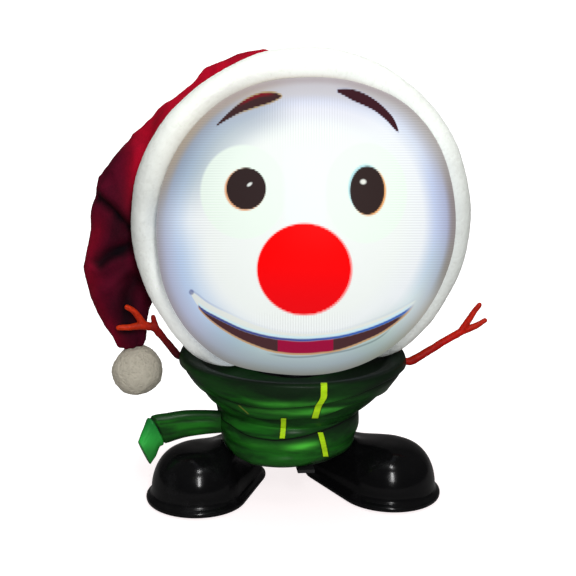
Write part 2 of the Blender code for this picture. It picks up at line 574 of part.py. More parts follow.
# ---------------------------------------------------------------- inside the body
# battery box, open to the rear, with four cells lying across
BX = -1.5
bx = finish("battery_box", bm_box((BX - 29.4, 11.4, 46.9), (BX + 29.4, 37.6, 78.5)), MATT_BLACK)
boole(bx, bm_box((BX - 28.2, 12.4, 47.9), (BX + 28.2, 60, 77.3)))
k = 0
for zz in (55.25, 69.95):
    for yy in (19.7, 34.3):
        k += 1
        finish("battery_cell_%d" % k, bm_lathe([(0, -25.2), (7.2, -25.2), (7.2, 23.6), (2.7, 23.6), (2.7, 25.2), (0, 25.2)],
                                               16, aim((BX, yy, zz), (1 if k % 2 else -1, 0, 0))), CELL)
for sx, nm in ((-1, "left"), (1, "right")):
    x0, x1 = sorted((BX + sx * 26.4, BX + sx * 27.0))
    finish("battery_contact_" + nm, bm_box((x0, 13.4, 50.0), (x1, 37.8, 75.4)), METAL)

finish("main_board", bm_box((-33, 5.6, 50), (33, 7.2, 86)), BOARD)
finish("controller_chip", bm_box((-9, 3.4, 62), (9, 5.2, 80)), MATT_BLACK)

SPX, SPY = 0.0, -20.0
MS = Matrix.Translation((SPX, SPY, 0))
finish("speaker_frame", bm_lathe([(20.2, 43.0), (20.2, 46.0), (12.6, 53.6), (12.6, 54.6), (9.0, 54.6), (9.0, 53.2),
                                  (17.6, 45.4), (17.6, 43.0)], 22, MS, loop=True), METAL)
finish("speaker_cone", bm_lathe([(0, 47.2), (6.0, 47.0), (16.4, 44.0), (16.7, 44.7), (6.6, 49.8), (6.2, 52.8), (0, 52.8)], 22, MS),
       PAPER, pivot=(SPX, SPY, 47))
finish("speaker_magnet", bm_lathe([(0, 55.0), (12.4, 55.0), (13.0, 55.6), (13.0, 62.0), (12.4, 62.6), (0, 62.6)], 24, MS), METAL)

# ---------------------------------------------------------------- projector in the head
CX, CZ = HEAD[0], HEAD[2]
br = finish("projector_bracket", bm_lathe([(5.2, 150.4), (13.4, 150.4), (13.4, 153.4), (5.2, 153.4)], 24,
                                          Matrix.Translation((NECK[0], NECK[1], 0)), loop=True), METAL)
boole(br, bm_box((NECK[0] - 9, 15.0, 151.2), (NECK[0] + 9, 18.0, 204.4)), 'UNION')
boole(br, bm_box((CX - 18, 6.0, 202.0), (CX + 18, 42.0, 204.6)), 'UNION')
ph = finish("projector_housing", bm_box((CX - 20, 5.0, 205.0), (CX + 20, 44.4, CZ + 18)), MATT_BLACK)
boole(ph, bm_box((CX - 18, 7.4, 207.0), (CX + 18, 60, CZ + 30)))
boole(ph, bm_cyl((CX, -10, CZ), (CX, 15, CZ), 10.0, 24))
finish("projector_cover", bm_box((CX - 20, 5.0, CZ + 18.3), (CX + 20, 44.4, CZ + 20.2)), MATT_BLACK)
finish("lens_holder", bm_tube((CX, -8.0, CZ), (CX, 4.7, CZ), 13.0, 10.6, 28), MATT_BLACK)
finish("focus_ring", bm_tube((CX, -7.4, CZ), (CX, 1.6, CZ), 16.2, 13.1, 28), MATT_BLACK, pivot=(CX, -3, CZ))
finish("lens_cell", bm_tube((CX, -13.5, CZ), (CX, 0.5, CZ), 10.4, 8.3, 28), ALU, pivot=(CX, -6, CZ))
finish("objective_lens", bm_lathe([(0, -12.6), (4.5, -12.2), (8.0, -10.6), (8.0, -7.6), (4.5, -6.2), (0, -5.8)], 24,
                                  aim((CX, 0, CZ), (0, 1, 0))), GLASS)
finish("lcd_panel", bm_box((CX - 16, 19.0, CZ - 13), (CX + 16, 21.2, CZ + 13)), GLASS)
finish("condenser_lens", bm_lathe([(0, 28.0), (7.5, 29.0), (14.5, 32.6), (14.5, 35.4), (0, 35.4)], 24,
                                  aim((CX, 0, CZ), (0, 1, 0))), GLASS)
finish("led_emitter", bm_box((CX - 5, 42.0, CZ - 5), (CX + 5, 44.7, CZ + 5)), WHITE)
finish("led_board", bm_box((CX - 18, 45.0, CZ - 18), (CX + 18, 46.6, CZ + 18)), BOARD)
# heat sink: a comb section drawn out upwards
comb = [(-18, 0), (18, 0), (18, 11), (16, 11), (16, 3)]
for x in (10, 4, -2, -8, -14):
    comb += [(x + 1.0, 3), (x + 1.0, 11), (x - 1.0, 11), (x - 1.0, 3)]
comb += [(-16.5, 3), (-16.5, 11), (-18, 11)]
finish("heat_sink", bm_loft([[(CX + x, 46.9 + y, z) for x, y in comb] for z in (CZ - 17, CZ + 17)]), ALU, smooth=False)

# harness from the board up the neck to the light source
route = [(3, 9.0, 86.8), (3, 8.4, 96), (3, 7.6, 112), (3, 7.2, 130), (3.2, 7.0, 146), (5, 6.2, 158), (12, 6.0, 170),
         (22, 10.0, 182), (30, 20.0, 194), (33, 32.0, 204), (33, 42.0, 214), (29.6, 45.8, 221), (24.4, 45.8, 223.6)]


def spline_points(pts, per):
    out = []
    P = [Vector(p) for p in pts]
    P = [P[0] * 2 - P[1]] + P + [P[-1] * 2 - P[-2]]
    for i in range(1, len(P) - 2):
        for s in range(per):
            t = s / per
            a, b, c, d = P[i - 1], P[i], P[i + 1], P[i + 2]
            out.append(0.5 * ((2 * b) + (c - a) * t + (2 * a - 5 * b + 4 * c - d) * t * t + (3 * b - a - 3 * c + d) * t ** 3))
    out.append(P[-2])
    return out


pts = spline_points(route, 2)
rings = []
up = Vector((1, 0, 0))
for i, q in enumerate(pts):
    d = (pts[min(i + 1, len(pts) - 1)] - pts[max(i - 1, 0)]).normalized()
    up = (up - d * up.dot(d)).normalized()
    sd = d.cross(up)
    rings.append([q + up * (1.6 * math.cos(math.pi * k / 4)) + sd * (1.6 * math.sin(math.pi * k / 4)) for k in range(8)])
finish("wire_harness", bm_loft(rings), MATT_BLACK)
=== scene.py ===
import math

import bmesh
import bpy
import numpy as np
from mathutils import Matrix, Vector

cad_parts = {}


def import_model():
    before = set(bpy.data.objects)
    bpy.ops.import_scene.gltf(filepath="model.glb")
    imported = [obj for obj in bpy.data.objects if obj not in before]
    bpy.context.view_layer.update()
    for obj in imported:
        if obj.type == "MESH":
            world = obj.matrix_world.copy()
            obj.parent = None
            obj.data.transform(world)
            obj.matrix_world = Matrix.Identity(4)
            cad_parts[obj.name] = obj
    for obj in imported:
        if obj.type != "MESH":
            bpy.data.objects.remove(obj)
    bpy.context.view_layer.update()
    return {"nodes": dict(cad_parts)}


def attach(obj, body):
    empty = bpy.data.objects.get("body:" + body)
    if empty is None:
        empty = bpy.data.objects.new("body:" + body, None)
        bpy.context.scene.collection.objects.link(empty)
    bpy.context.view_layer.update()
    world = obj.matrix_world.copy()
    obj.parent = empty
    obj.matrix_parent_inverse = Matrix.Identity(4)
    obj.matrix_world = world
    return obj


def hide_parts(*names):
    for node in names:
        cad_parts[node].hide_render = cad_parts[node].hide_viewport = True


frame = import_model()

# ------------------------------------------------------------------ figure frame
# Everything below is laid out in millimetres about the body's own axis and moved
# to the row frame by SHIFT.
SHIFT = np.array([4.834, 30.532, 0.0])
HEAD = np.array([3.8, -38.0, 227.2])
HAT = np.array([4.6, -38.0, 226.5])
HEAD_R = 109.2
ELL = 0.97


def world(P):
    return (np.asarray(P, float) + SHIFT) * 0.001


def figure(P):
    return np.asarray(P, float) * 1000.0 - SHIFT


# the photograph's camera, in the figure frame
CAM_D, CAM_H, PSI, PITCH, FOCAL, ROLL = 850.0, 385.0, math.radians(8.0), math.radians(14.1), 1117.0, math.radians(1.3)
PX0, PY0 = 294.5, 288.0
EYE = np.array([-CAM_D * math.sin(PSI), -CAM_D * math.cos(PSI), CAM_H])


def project(P):
    """Where points of the figure frame fall in the photograph, in its pixels."""
    x, y, z = P[..., 0], P[..., 1], P[..., 2]
    L = x * math.cos(PSI) - y * math.sin(PSI)
    d = CAM_D + x * math.sin(PSI) + y * math.cos(PSI)
    up = (z - CAM_H) * math.cos(PITCH) + d * math.sin(PITCH)
    zc = d * math.cos(PITCH) - (z - CAM_H) * math.sin(PITCH)
    u, v = FOCAL * L / zc, -FOCAL * up / zc
    c, s = math.cos(ROLL), math.sin(ROLL)
    return PX0 + u * c - v * s, PY0 + u * s + v * c


# ------------------------------------------------------------------ small tools
def srgb(r, g, b):
    out = []
    for c in (r, g, b):
        c /= 255.0
        out.append(c / 12.92 if c <= 0.04045 else ((c + 0.055) / 1.055) ** 2.4)
    return (out[0], out[1], out[2], 1.0)


def sstep(a, b, t):
    t = np.clip((np.asarray(t, float) - a) / (b - a), 0, 1)
    return t * t * (3 - 2 * t)


def vnoise(P, seed=0):
    """Smooth lattice noise, -1 to 1."""
    i = np.floor(P).astype(np.int64)
    f = P - i
    f = f * f * f * (f * (f * 6 - 15) + 10)

    def h(a, b, c):
        n = (a * 73856093) ^ (b * 19349663) ^ (c * 83492791) ^ (seed * 2654435761 + 97)
        n = (n ^ (n >> 13)) & 0x7FFFFFFF
        n = (n * 1274126177) & 0x7FFFFFFF
        n = (n ^ (n >> 11)) & 0xFFFFF
        return n / float(0xFFFFF) * 2 - 1

    r = 0
    for dx in (0, 1):
        wx = f[..., 0] if dx else 1 - f[..., 0]
        for dy in (0, 1):
            wy = f[..., 1] if dy else 1 - f[..., 1]
            for dz in (0, 1):
                wz = f[..., 2] if dz else 1 - f[..., 2]
                r = r + wx * wy * wz * h(i[..., 0] + dx, i[..., 1] + dy, i[..., 2] + dz)
    return r


def fbm(P, scale, octaves=3, seed=0):
    r, a, s = 0, 1.0, scale
    for o in range(octaves):
        r = r + a * vnoise(P / s + 17.3 * o, seed + o)
        a *= 0.5
        s *= 0.5
    return r


def grid_faces(nu, nv, wrap_u=False, wrap_v=False):
    i = np.arange(nu if wrap_u else nu - 1)
    j = np.arange(nv if wrap_v else nv - 1)
    I, J = np.meshgrid(i, j, indexing="ij")
    I2, J2 = (I + 1) % nu, (J + 1) % nv
    return np.stack([I * nv + J, I2 * nv + J, I2 * nv + J2, I * nv + J2], -1).reshape(-1, 4)


def make(name, P, faces, material, body="figure", smooth=True, normals=True):
    """A named mesh piece from points of the figure frame."""
    me = bpy.data.meshes.new(name)
    me.from_pydata([tuple(p) for p in world(P)], [], [tuple(int(k) for k in f) for f in faces])
    if normals:
        bm = bmesh.new()
        bm.from_mesh(me)
        bmesh.ops.recalc_face_normals(bm, faces=bm.faces)
        bm.to_mesh(me)
        bm.free()
    if smooth:
        me.shade_smooth()
    me.materials.append(material)
    ob = bpy.data.objects.new(name, me)
    bpy.context.scene.collection.objects.link(ob)
    if body:
        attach(ob, body)
    return ob


def loop_grid(rings, cap=True):
    """Closed body from equal rings (closed loops): points, faces with end caps as fans."""
    rings = np.asarray(rings, float)
    nu, nv = rings.shape[:2]
    P = rings.reshape(-1, 3)
    F = [tuple(f) for f in grid_faces(nu, nv, False, True)]
    if cap:
        P = np.vstack([P, rings[0].mean(0)[None], rings[-1].mean(0)[None]])
        a, b = nu * nv, nu * nv + 1
        for j in range(nv):
            k = (j + 1) % nv
            F.append((a, k, j))
            F.append((b, (nu - 1) * nv + j, (nu - 1) * nv + k))
    return P, F


def evaluated(ob):
    """The object's mesh with its modifiers applied, in place."""
    dg = bpy.context.evaluated_depsgraph_get()
    me = bpy.data.meshes.new_from_object(ob.evaluated_get(dg))
    old = ob.data
    ob.modifiers.clear()
    ob.data = me
    me.name = ob.name
    if old.users == 0:
        bpy.data.meshes.remove(old)
    return ob


def points(ob):
    me = ob.data
    P = np.empty(len(me.vertices) * 3)
    me.vertices.foreach_get("co", P)
    return figure(P.reshape(-1, 3))


def normals_of(ob):
    N = np.empty(len(ob.data.vertices) * 3)
    ob.data.vertex_normals.foreach_get("vector", N)
    return N.reshape(-1, 3)


def set_points(ob, P):
    ob.data.vertices.foreach_set("co", world(P).ravel())
    ob.data.update()


def spline(pts, n):
    """Smooth curve through points, evenly sampled."""
    P = np.asarray(pts, float)
    P = np.vstack([2 * P[0] - P[1], P, 2 * P[-1] - P[-2]])
    out = []
    for i in range(1, len(P) - 2):
        for t in np.linspace(0, 1, 24, endpoint=False):
            a, b, c, d = P[i - 1], P[i], P[i + 1], P[i + 2]
            out.append(0.5 * (2 * b + (c - a) * t + (2 * a - 5 * b + 4 * c - d) * t * t + (3 * b - a - 3 * c + d) * t ** 3))
    out.append(P[-2])
    out = np.array(out)
    L = np.r_[0, np.cumsum(np.linalg.norm(np.diff(out[:, :3], axis=0), axis=1))]
    s = np.linspace(0, L[-1], n)
    return np.stack([np.interp(s, L, out[:, k]) for k in range(out.shape[1])], -1)


def smooth_line(rows, n):
    """Monotone-looking dense sampling of a profile (columns are values)."""
    return spline(rows, n)


# ------------------------------------------------------------------ shader maths
class S:
    """A shader value that can be written as arithmetic."""

    def __init__(self, nt, s):
        self.nt, self.s = nt, s

    def _op(self, op, *args):
        n = self.nt.nodes.new("ShaderNodeMath")
        n.operation = op
        for i, v in enumerate(args):
            if isinstance(v, S):
                self.nt.links.new(v.s, n.inputs[i])
            else:
                n.inputs[i].default_value = float(v)
        return S(self.nt, n.outputs[0])

    def __add__(self, o): return self._op("ADD", self, o)
    def __radd__(self, o): return self._op("ADD", o, self)
    def __sub__(self, o): return self._op("SUBTRACT", self, o)
    def __rsub__(self, o): return self._op("SUBTRACT", o, self)
    def __mul__(self, o): return self._op("MULTIPLY", self, o)
    def __rmul__(self, o): return self._op("MULTIPLY", o, self)
    def __truediv__(self, o): return self._op("DIVIDE", self, o)
    def sqrt(self): return self._op("SQRT", self)
    def abs(self): return self._op("ABSOLUTE", self)
    def floor(self): return self._op("FLOOR", self)
    def sin(self): return self._op("SINE", self)
    def max(self, o): return self._op("MAXIMUM", self, o)
    def min(self, o): return self._op("MINIMUM", self, o)
    def sq(self): return self._op("MULTIPLY", self, self)

    def step(self, a, b):
        """Smooth step from 0 at a to 1 at b (a may be the larger)."""
        n = self.nt.nodes.new("ShaderNodeMapRange")
        n.interpolation_type = "SMOOTHSTEP"
        if a < b:
            lo, hi, t0, t1 = a, b, 0.0, 1.0
        else:
            lo, hi, t0, t1 = b, a, 1.0, 0.0
        n.inputs["From Min"].default_value = lo
        n.inputs["From Max"].default_value = hi
        n.inputs["To Min"].default_value = t0
        n.inputs["To Max"].default_value = t1
        self.nt.links.new(self.s, n.inputs["Value"])
        return S(self.nt, n.outputs["Result"])

    def curve(self, pts, y0, y1):
        """Piecewise smooth function of this value through points (x, y)."""
        x0, x1 = pts[0][0], pts[-1][0]
        n = self.nt.nodes.new("ShaderNodeFloatCurve")
        c = n.mapping.curves[0]
        q = [((x - x0) / (x1 - x0), (y - y0) / (y1 - y0)) for x, y in pts]
        c.points[0].location = q[0]
        c.points[1].location = q[-1]
        for p in q[1:-1]:
            c.points.new(*p)
        n.mapping.update()
        t = (self - x0) / (x1 - x0)
        self.nt.links.new(t.s, n.inputs["Value"])
        return S(self.nt, n.outputs[0]) * (y1 - y0) + y0


def mixc(nt, fac, a, b):
    n = nt.nodes.new("ShaderNodeMix")
    n.data_type = "RGBA"
    for v, sock in ((fac, n.inputs[0]), (a, n.inputs[6]), (b, n.inputs[7])):
        if isinstance(v, S):
            nt.links.new(v.s, sock)
        elif isinstance(v, bpy.types.NodeSocket):
            nt.links.new(v, sock)
        elif isinstance(v, (int, float)):
            sock.default_value = v
        else:
            sock.default_value = v
    return n.outputs[2]


def mulc(nt, fac, a, b):
    n = nt.nodes.new("ShaderNodeMix")
    n.data_type = "RGBA"
    n.blend_type = "MULTIPLY"
    for v, sock in ((fac, n.inputs[0]), (a, n.inputs[6]), (b, n.inputs[7])):
        if isinstance(v, S):
            nt.links.new(v.s, sock)
        elif isinstance(v, bpy.types.NodeSocket):
            nt.links.new(v, sock)
        else:
            sock.default_value = v
    return n.outputs[2]


def ramp(nt, val, stops):
    n = nt.nodes.new("ShaderNodeValToRGB")
    n.color_ramp.interpolation = "EASE" if len(stops) == 2 else "LINEAR"
    e = n.color_ramp.elements
    e[0].position, e[0].color = stops[0]
    e[1].position, e[1].color = stops[-1]
    for p, c in stops[1:-1]:
        k = e.new(p)
        k.color = c
    nt.links.new(val.s if isinstance(val, S) else val, n.inputs[0])
    return n.outputs[0]


def new_material(name):
    m = bpy.data.materials.new(name)
    m.use_nodes = True
    nt = m.node_tree
    return m, nt, nt.nodes["Principled BSDF"]


def obj_coords(nt):
    return nt.nodes.new("ShaderNodeTexCoord").outputs["Object"]


def noise_tex(nt, vec, scale, detail=3.0, rough=0.55, distort=0.0):
    n = nt.nodes.new("ShaderNodeTexNoise")
    n.inputs["Scale"].default_value = scale
    n.inputs["Detail"].default_value = detail
    n.inputs["Roughness"].default_value = rough
    n.inputs["Distortion"].default_value = distort
    nt.links.new(vec, n.inputs["Vector"])
    return n.outputs[0]


def stretch(nt, vec, s):
    n = nt.nodes.new("ShaderNodeMapping")
    n.inputs["Scale"].default_value = s
    nt.links.new(vec, n.inputs["Vector"])
    return n.outputs[0]


def bump(nt, bsdf, height, strength, dist, prev=None):
    n = nt.nodes.new("ShaderNodeBump")
    n.inputs["Strength"].default_value = strength
    n.inputs["Distance"].default_value = dist
    nt.links.new(height.s if isinstance(height, S) else height, n.inputs["Height"])
    if prev is not None:
        nt.links.new(prev, n.inputs["Normal"])
    nt.links.new(n.outputs[0], bsdf.inputs["Normal"])
    return n.outputs[0]


def photo_xy(nt):
    """The piece's own map: the place of each point in the photograph's frame, in its pixels."""
    n = nt.nodes.new("ShaderNodeUVMap")
    n.uv_map = "front_map"
    sep = nt.nodes.new("ShaderNodeSeparateXYZ")
    nt.links.new(n.outputs[0], sep.inputs[0])
    return S(nt, sep.outputs[0]) * 576.0, S(nt, sep.outputs[1]) * 576.0


def add_front_map(ob):
    P = points(ob)
    u, v = project(P)
    me = ob.data
    lay = me.uv_layers.new(name="front_map")
    idx = np.empty(len(me.loops), dtype=np.int32)
    me.loops.foreach_get("vertex_index", idx)
    uv = np.stack([u[idx] / 576.0, v[idx] / 576.0], -1)
    lay.data.foreach_set("uv", uv.ravel())


def add_value(ob, name, vals):
    a = ob.data.attributes.new(name, "FLOAT", "POINT")
    a.data.foreach_set("value", np.asarray(vals, float))


def attr(nt, name):
    n = nt.nodes.new("ShaderNodeAttribute")
    n.attribute_name = name
    return S(nt, n.outputs["Fac"])


# ------------------------------------------------------------------ materials
def face_material():
    """Frosted dome with the face thrown on it from inside."""
    m, nt, b = new_material("dome_face")
    px, py = photo_xy(nt)
    # the picture is made of small square dots, so its edges step
    qx = ((px / 1.15).floor() * 1.15 + 0.575) * 0.8 + px * 0.2
    qy = ((py / 1.9).floor() * 1.9 + 0.95) * 0.75 + py * 0.25
    qm = qy * 0.25 + py * 0.75
    # the picture fades towards the edge of the ball, soonest at its upper left; these tints and darkenings are partly
    # the picture's own fall-off and partly painted shade of the ball's edges, top and bottom
    dx, dy = px - 307.0, py - 226.0
    rho = (dx.sq() + dy.sq()).sqrt().max(1.0)
    ux, uy = dx / rho, dy / rho
    rho = rho * attr(nt, "span")
    sx = dx / 148.0
    ul = (ux * -0.71 + uy * -0.71).step(0.73, 0.98)
    left = (ux * -0.98 + uy * 0.17).step(0.55, 0.95)
    top = (uy * -1.0).step(0.72, 0.97)
    low = uy.step(0.58, 0.93)
    col = ramp(nt, rho / 150.0, [(0.62, srgb(244, 249, 245)), (0.79, srgb(243, 247, 250)), (0.87, srgb(222, 230, 244)), (0.945, srgb(200, 203, 219)), (1.0, srgb(178, 170, 171))])
    col = mulc(nt, ul * rho.step(88, 123), col, srgb(203, 212, 216))
    col = mulc(nt, left * rho.step(106, 134), col, srgb(240, 248, 255))
    ll = (ux * -0.82 + uy * 0.57).step(0.78, 0.96)
    col = mulc(nt, ll * rho.step(98, 122), col, srgb(228, 237, 249))
    col = mulc(nt, ll * rho.step(124, 146), col, (1.26, 1.11, 1.04, 1.0))
    col = mulc(nt, ux.step(0.80, 0.98) * rho.step(116, 132), col, srgb(230, 235, 251))
    col = mulc(nt, top * rho.step(96, 118), col, srgb(244, 242, 248))
    col = mixc(nt, top * rho.step(124, 136) * 0.7, col, srgb(208, 204, 204))
    col = mulc(nt, low * rho.step(106, 130), col, srgb(212, 226, 216))
    # painted shadow: warm dimness where the roll of the hat hangs over it, at the upper left and the right
    col = mixc(nt, ul * rho.step(139, 147) * 0.7, col, srgb(184, 166, 142))
    col = mixc(nt, ux.step(0.86, 0.97) * rho.step(141, 148) * 0.7, col, srgb(150, 138, 132))
    # a tint at the lower right; painted shadow of the roll at the upper right and along the top
    lr = (ux * 0.8 + uy * 0.6).step(0.80, 0.97)
    col = mulc(nt, lr * rho.step(116, 136), col, (0.99, 1.06, 0.93, 1.0))
    ur = (ux * 0.7 + uy * -0.7).step(0.80, 0.97)
    col = mixc(nt, ur * rho.step(132, 146) * 0.55, col, srgb(186, 181, 172))
    col = mixc(nt, (uy * -1.0).step(0.62, 0.92) * rho.step(142, 149) * 0.6, col, srgb(170, 156, 162))
    # past the picture's edge the ball is plain frosted plastic
    col = mixc(nt, attr(nt, "beyond"), col, srgb(194, 200, 212))
    # pale eye sockets and a white bridge
    for cx, cy, rx, ry in ((243.5, 192.0, 43.0, 47.0), (366.0, 193.0, 41.0, 50.0)):
        d = (((px - cx) / rx).sq() + ((py - cy) / ry).sq()).sqrt()
        col = mixc(nt, d.step(1.04, 0.96) * 0.85, col, srgb(240, 253, 241))
    col = mixc(nt, (px - 305.0).abs().step(24, 17) * py.step(140, 165) * py.step(318, 300) * 0.7, col, srgb(245, 250, 250))
    # screen lines: across at the sides, upright over the brow and under the nose
    lines = (py * (2 * math.pi / 2.6)).sin() * sx.abs().step(0.42, 0.75) * py.step(298, 262)
    ups = (px * (2 * math.pi / 2.6)).sin() * (px - 303.0).abs().step(60, 24)
    brow = py.step(92, 104) * py.step(158, 120)
    under = py.step(308, 318) * py.step(341, 334)
    shade = 0.97 + lines * 0.075 + ups * (brow * 0.06 + under * 0.07)
    comb = nt.nodes.new("ShaderNodeCombineXYZ")
    for k in range(3):
        nt.links.new((shade + (0.006 * k)).s, comb.inputs[k])
    col = mulc(nt, 1.0, col, comb.outputs[0])

    def disc(cx, cy, rx, ry, soft=0.05, x=None, y=None):
        x, y = (qx if x is None else x), (qy if y is None else y)
        d = (((x - cx) / rx).sq() + ((y - cy) / ry).sq()).sqrt()
        return d.step(1.0 + soft, 1.0 - soft)

    # nose
    col = mixc(nt, disc(304.6, 269.4, 48.0, 46.4, 0.02), col, srgb(255, 150, 150))
    nose = mixc(nt, py.step(250, 314), srgb(255, 3, 5), srgb(240, 10, 19))
    col = mixc(nt, disc(304.0, 269.2, 46.6, 45.2, 0.012), col, nose)
    # eyes with the colour fringes of the lens
    col = mixc(nt, disc(244.9, 189.4, 20.4, 21.2) * 0.85, col, srgb(226, 150, 90))
    col = mixc(nt, disc(246.2, 188.6, 19.8, 20.9, 0.035), col, srgb(52, 40, 40))
    col = mixc(nt, disc(368.3, 191.2, 17.9, 24.6) * 0.9, col, srgb(236, 160, 80))
    col = mixc(nt, disc(366.0, 188.8, 17.7, 24.4) * 0.55, col, srgb(120, 210, 230))
    col = mixc(nt, disc(367.2, 190.4, 17.2, 24.2, 0.035), col, srgb(52, 40, 39))
    col = mixc(nt, disc(249.6, 184.4, 2.4, 1.7, 0.5, px, py + (px - 249.6) * 0.45) * 0.9, col, srgb(235, 240, 236))
    col = mixc(nt, disc(363.2, 181.8, 2.9, 2.4, 0.5, px, py) * 0.92, col, srgb(245, 248, 240))

    # brows
    def between(x, y, up, low, soft=0.7, grow=0.0):
        lo, hi = 80.0, 380.0
        a = y - (x.curve(up, lo, hi) - grow)
        c = (x.curve(low, lo, hi) + grow) - y
        ends = x.step(up[0][0] - 0.6 - grow, up[0][0] + 0.6 - grow) * x.step(up[-1][0] + 0.6 + grow, up[-1][0] - 0.6 + grow)
        return a.step(-soft, soft) * c.step(-soft, soft) * ends

    bl_up = [(216.5, 124.8), (222, 119), (230, 111.2), (240, 103.2), (250, 97.4), (258, 94.2), (266, 92.6), (274, 92.8), (281, 95.4)]
    bl_lo = [(216.5, 126.2), (224, 121.6), (232, 117.0), (240, 112.6), (250, 108.8), (260, 105.6), (270, 102.4), (278, 98.6), (281, 96.8)]
    br_up = [(337.5, 89.4), (345, 88.7), (352, 89.4), (360, 91.8), (368, 95.6), (375, 100.0), (382, 105.6), (388, 111.6), (393, 117.6), (396.5, 124.6), (398.4, 130.2)]
    br_lo = [(337.5, 92.2), (345, 96.0), (352, 100.0), (360, 103.6), (368, 107.2), (375, 111.0), (382, 116.4), (388, 121.8), (393, 127.4), (396.5, 130.8), (398.4, 131.8)]
    col = mixc(nt, between(px, qy, bl_up, bl_lo, 0.9, 1.3) * px.step(226, 250) * 0.7, col, srgb(176, 140, 40))
    hair = mixc(nt, (qy - px.curve(bl_up, 80.0, 380.0)).step(4.8, 1.4) * px.step(236, 248) * px.step(277, 266), srgb(66, 42, 44), srgb(126, 24, 36))
    col = mixc(nt, between(px, qy, bl_up, bl_lo), col, hair)
    col = mixc(nt, between(px, qy, br_up, br_lo, 0.9, 0.9) * 0.5, col, srgb(170, 175, 205))
    col = mixc(nt, between(px, qy, br_up, br_lo), col, srgb(62, 30, 38))

    # mouth: a pale lip, the open mouth under it with its tongue, and the lens fringes
    lip = [(190, 290.6), (196, 294), (205, 301), (215, 307), (230, 314), (245, 321), (260, 326.5), (280, 331.5), (300, 333.5), (320, 333), (340, 330.5), (360, 325), (380, 318), (400, 309), (416, 299.5)]
    top = [(190, 292.5), (194, 300), (198, 306), (205, 311.5), (215, 317), (228, 323.5), (240, 329), (255, 334), (270, 337.5), (285, 339.5), (303, 340.5), (320, 339.5), (340, 337), (360, 332), (380, 325), (395, 318), (408, 310), (416, 302)]
    bot = [(198, 306.5), (205, 314.5), (213, 321.5), (225, 330), (240, 338.5), (255, 345), (270, 350), (285, 352.6), (303, 353.4), (320, 352.4), (335, 350.4), (350, 346), (365, 340), (380, 333), (390, 326.5), (398, 320.5), (408, 311.5), (416, 302.5)]
    top2 = [p for p in top if p[0] >= 198]
    yl, yt, yb = px.curve(lip, 80.0, 380.0), px.curve(top, 80.0, 380.0), px.curve(bot, 80.0, 380.0)
    inx = px.step(189, 191) * px.step(417, 412)
    inm = px.step(197.5, 199.5) * px.step(416, 404)
    col = mixc(nt, (py - yl + 0.6).abs().step(2.2, 0.4) * inx * (px.step(240, 196) * 0.4 + 0.10), col, srgb(158, 172, 206))
    col = mixc(nt, (py - yl).step(-0.6, 1.0) * (yt - py).step(-0.6, 1.0) * inx * 0.9, col, srgb(232, 236, 229))
    col = mixc(nt, disc(191.4, 292.2, 2.4, 2.6, 0.4, px, py) * 0.75, col, srgb(96, 106, 158))
    col = mixc(nt, (py - yt + 2.6).abs().step(2.4, 0.6) * inm * 0.6, col, srgb(196, 240, 255))
    col = mixc(nt, (qm - yt + 0.2).abs().step(2.2, 0.5) * inm * 0.95, col, mixc(nt, px.step(250, 380), srgb(44, 56, 140), srgb(26, 92, 190)))
    col = mixc(nt, (qm - yb - 0.5).abs().step(1.8, 0.5) * inm * 0.8, col, srgb(206, 150, 84))
    mouth = mixc(nt, (px - 305.5).abs().step(28.3, 27.3), srgb(76, 46, 50), srgb(160, 18, 62))
    col = mixc(nt, (qm - yt).step(0.2, 1.6) * (yb - qm).step(-0.6, 0.8) * px.step(198, 200) * px.step(412, 396), col, mouth)
    # second, fainter line thrown under the mouth
    ghost = [(262, 352.0), (280, 355.8), (300, 357.2), (330, 353.6), (360, 346.4), (385, 333.6), (396, 321.5)]
    yg = px.curve(ghost, 80.0, 380.0)
    col = mixc(nt, (py - yg).abs().step(1.4, 0.3) * px.step(262, 285) * px.step(397, 380) * 0.55, col, srgb(96, 112, 120))
    nt.links.new(mulc(nt, 1.0, col, (0.34, 0.34, 0.34, 1)), b.inputs["Base Color"])
    nt.links.new(col, b.inputs["Emission Color"])
    b.inputs["Emission Strength"].default_value = 0.70
    b.inputs["Roughness"].default_value = 0.55
    b.inputs["Specular IOR Level"].default_value = 0.05
    o = obj_coords(nt)
    bump(nt, b, noise_tex(nt, o, 2600, 2), 0.05, 0.0002)
    return m


def fleece_material(name, rgb, deep, sheen=0.3):
    """Dense fleece: lighter tufts, slightly darker between them (partly painted shade in the pile, partly random tone),
    soft sheen.
    """
    m, nt, b = new_material(name)
    o = obj_coords(nt)
    n1 = S(nt, noise_tex(nt, o, 620, 4, 0.6))
    n2 = S(nt, noise_tex(nt, o, 60, 3, 0.5))
    tuft = attr(nt, "tuft")
    f = (n1 * 0.35 + n2 * 0.2 + tuft * 0.45).step(0.15, 0.6)
    col = mixc(nt, f, deep, rgb)
    # painted light: the fleece is made lighter round the crown and where it laps the collar
    col = mulc(nt, attr(nt, "painted_light"), col, (1.34, 1.34, 1.33, 1.0))
    # painted shade: warmer and darker where the roll lies close against the dome
    col = mulc(nt, attr(nt, "tuck_shade"), col, srgb(214, 205, 194))
    nt.links.new(col, b.inputs["Base Color"])
    # painted light: a faint glow stands in for the light of the face and the table caught in the pile where it laps the
    # collar
    nt.links.new(mixc(nt, attr(nt, "lap"), (0, 0, 0, 1), (0.20, 0.20, 0.205, 1)), b.inputs["Emission Color"])
    b.inputs["Emission Strength"].default_value = 1.0
    b.inputs["Roughness"].default_value = 1.0
    b.inputs["Specular IOR Level"].default_value = 0.05
    b.inputs["Sheen Weight"].default_value = sheen
    b.inputs["Sheen Roughness"].default_value = 0.7
    b.inputs["Sheen Tint"].default_value = rgb
    n3 = noise_tex(nt, o, 1700, 3, 0.7)
    p = bump(nt, b, n1, 0.22, 0.0005)
    bump(nt, b, n3, 0.22, 0.0003, p)
    return m


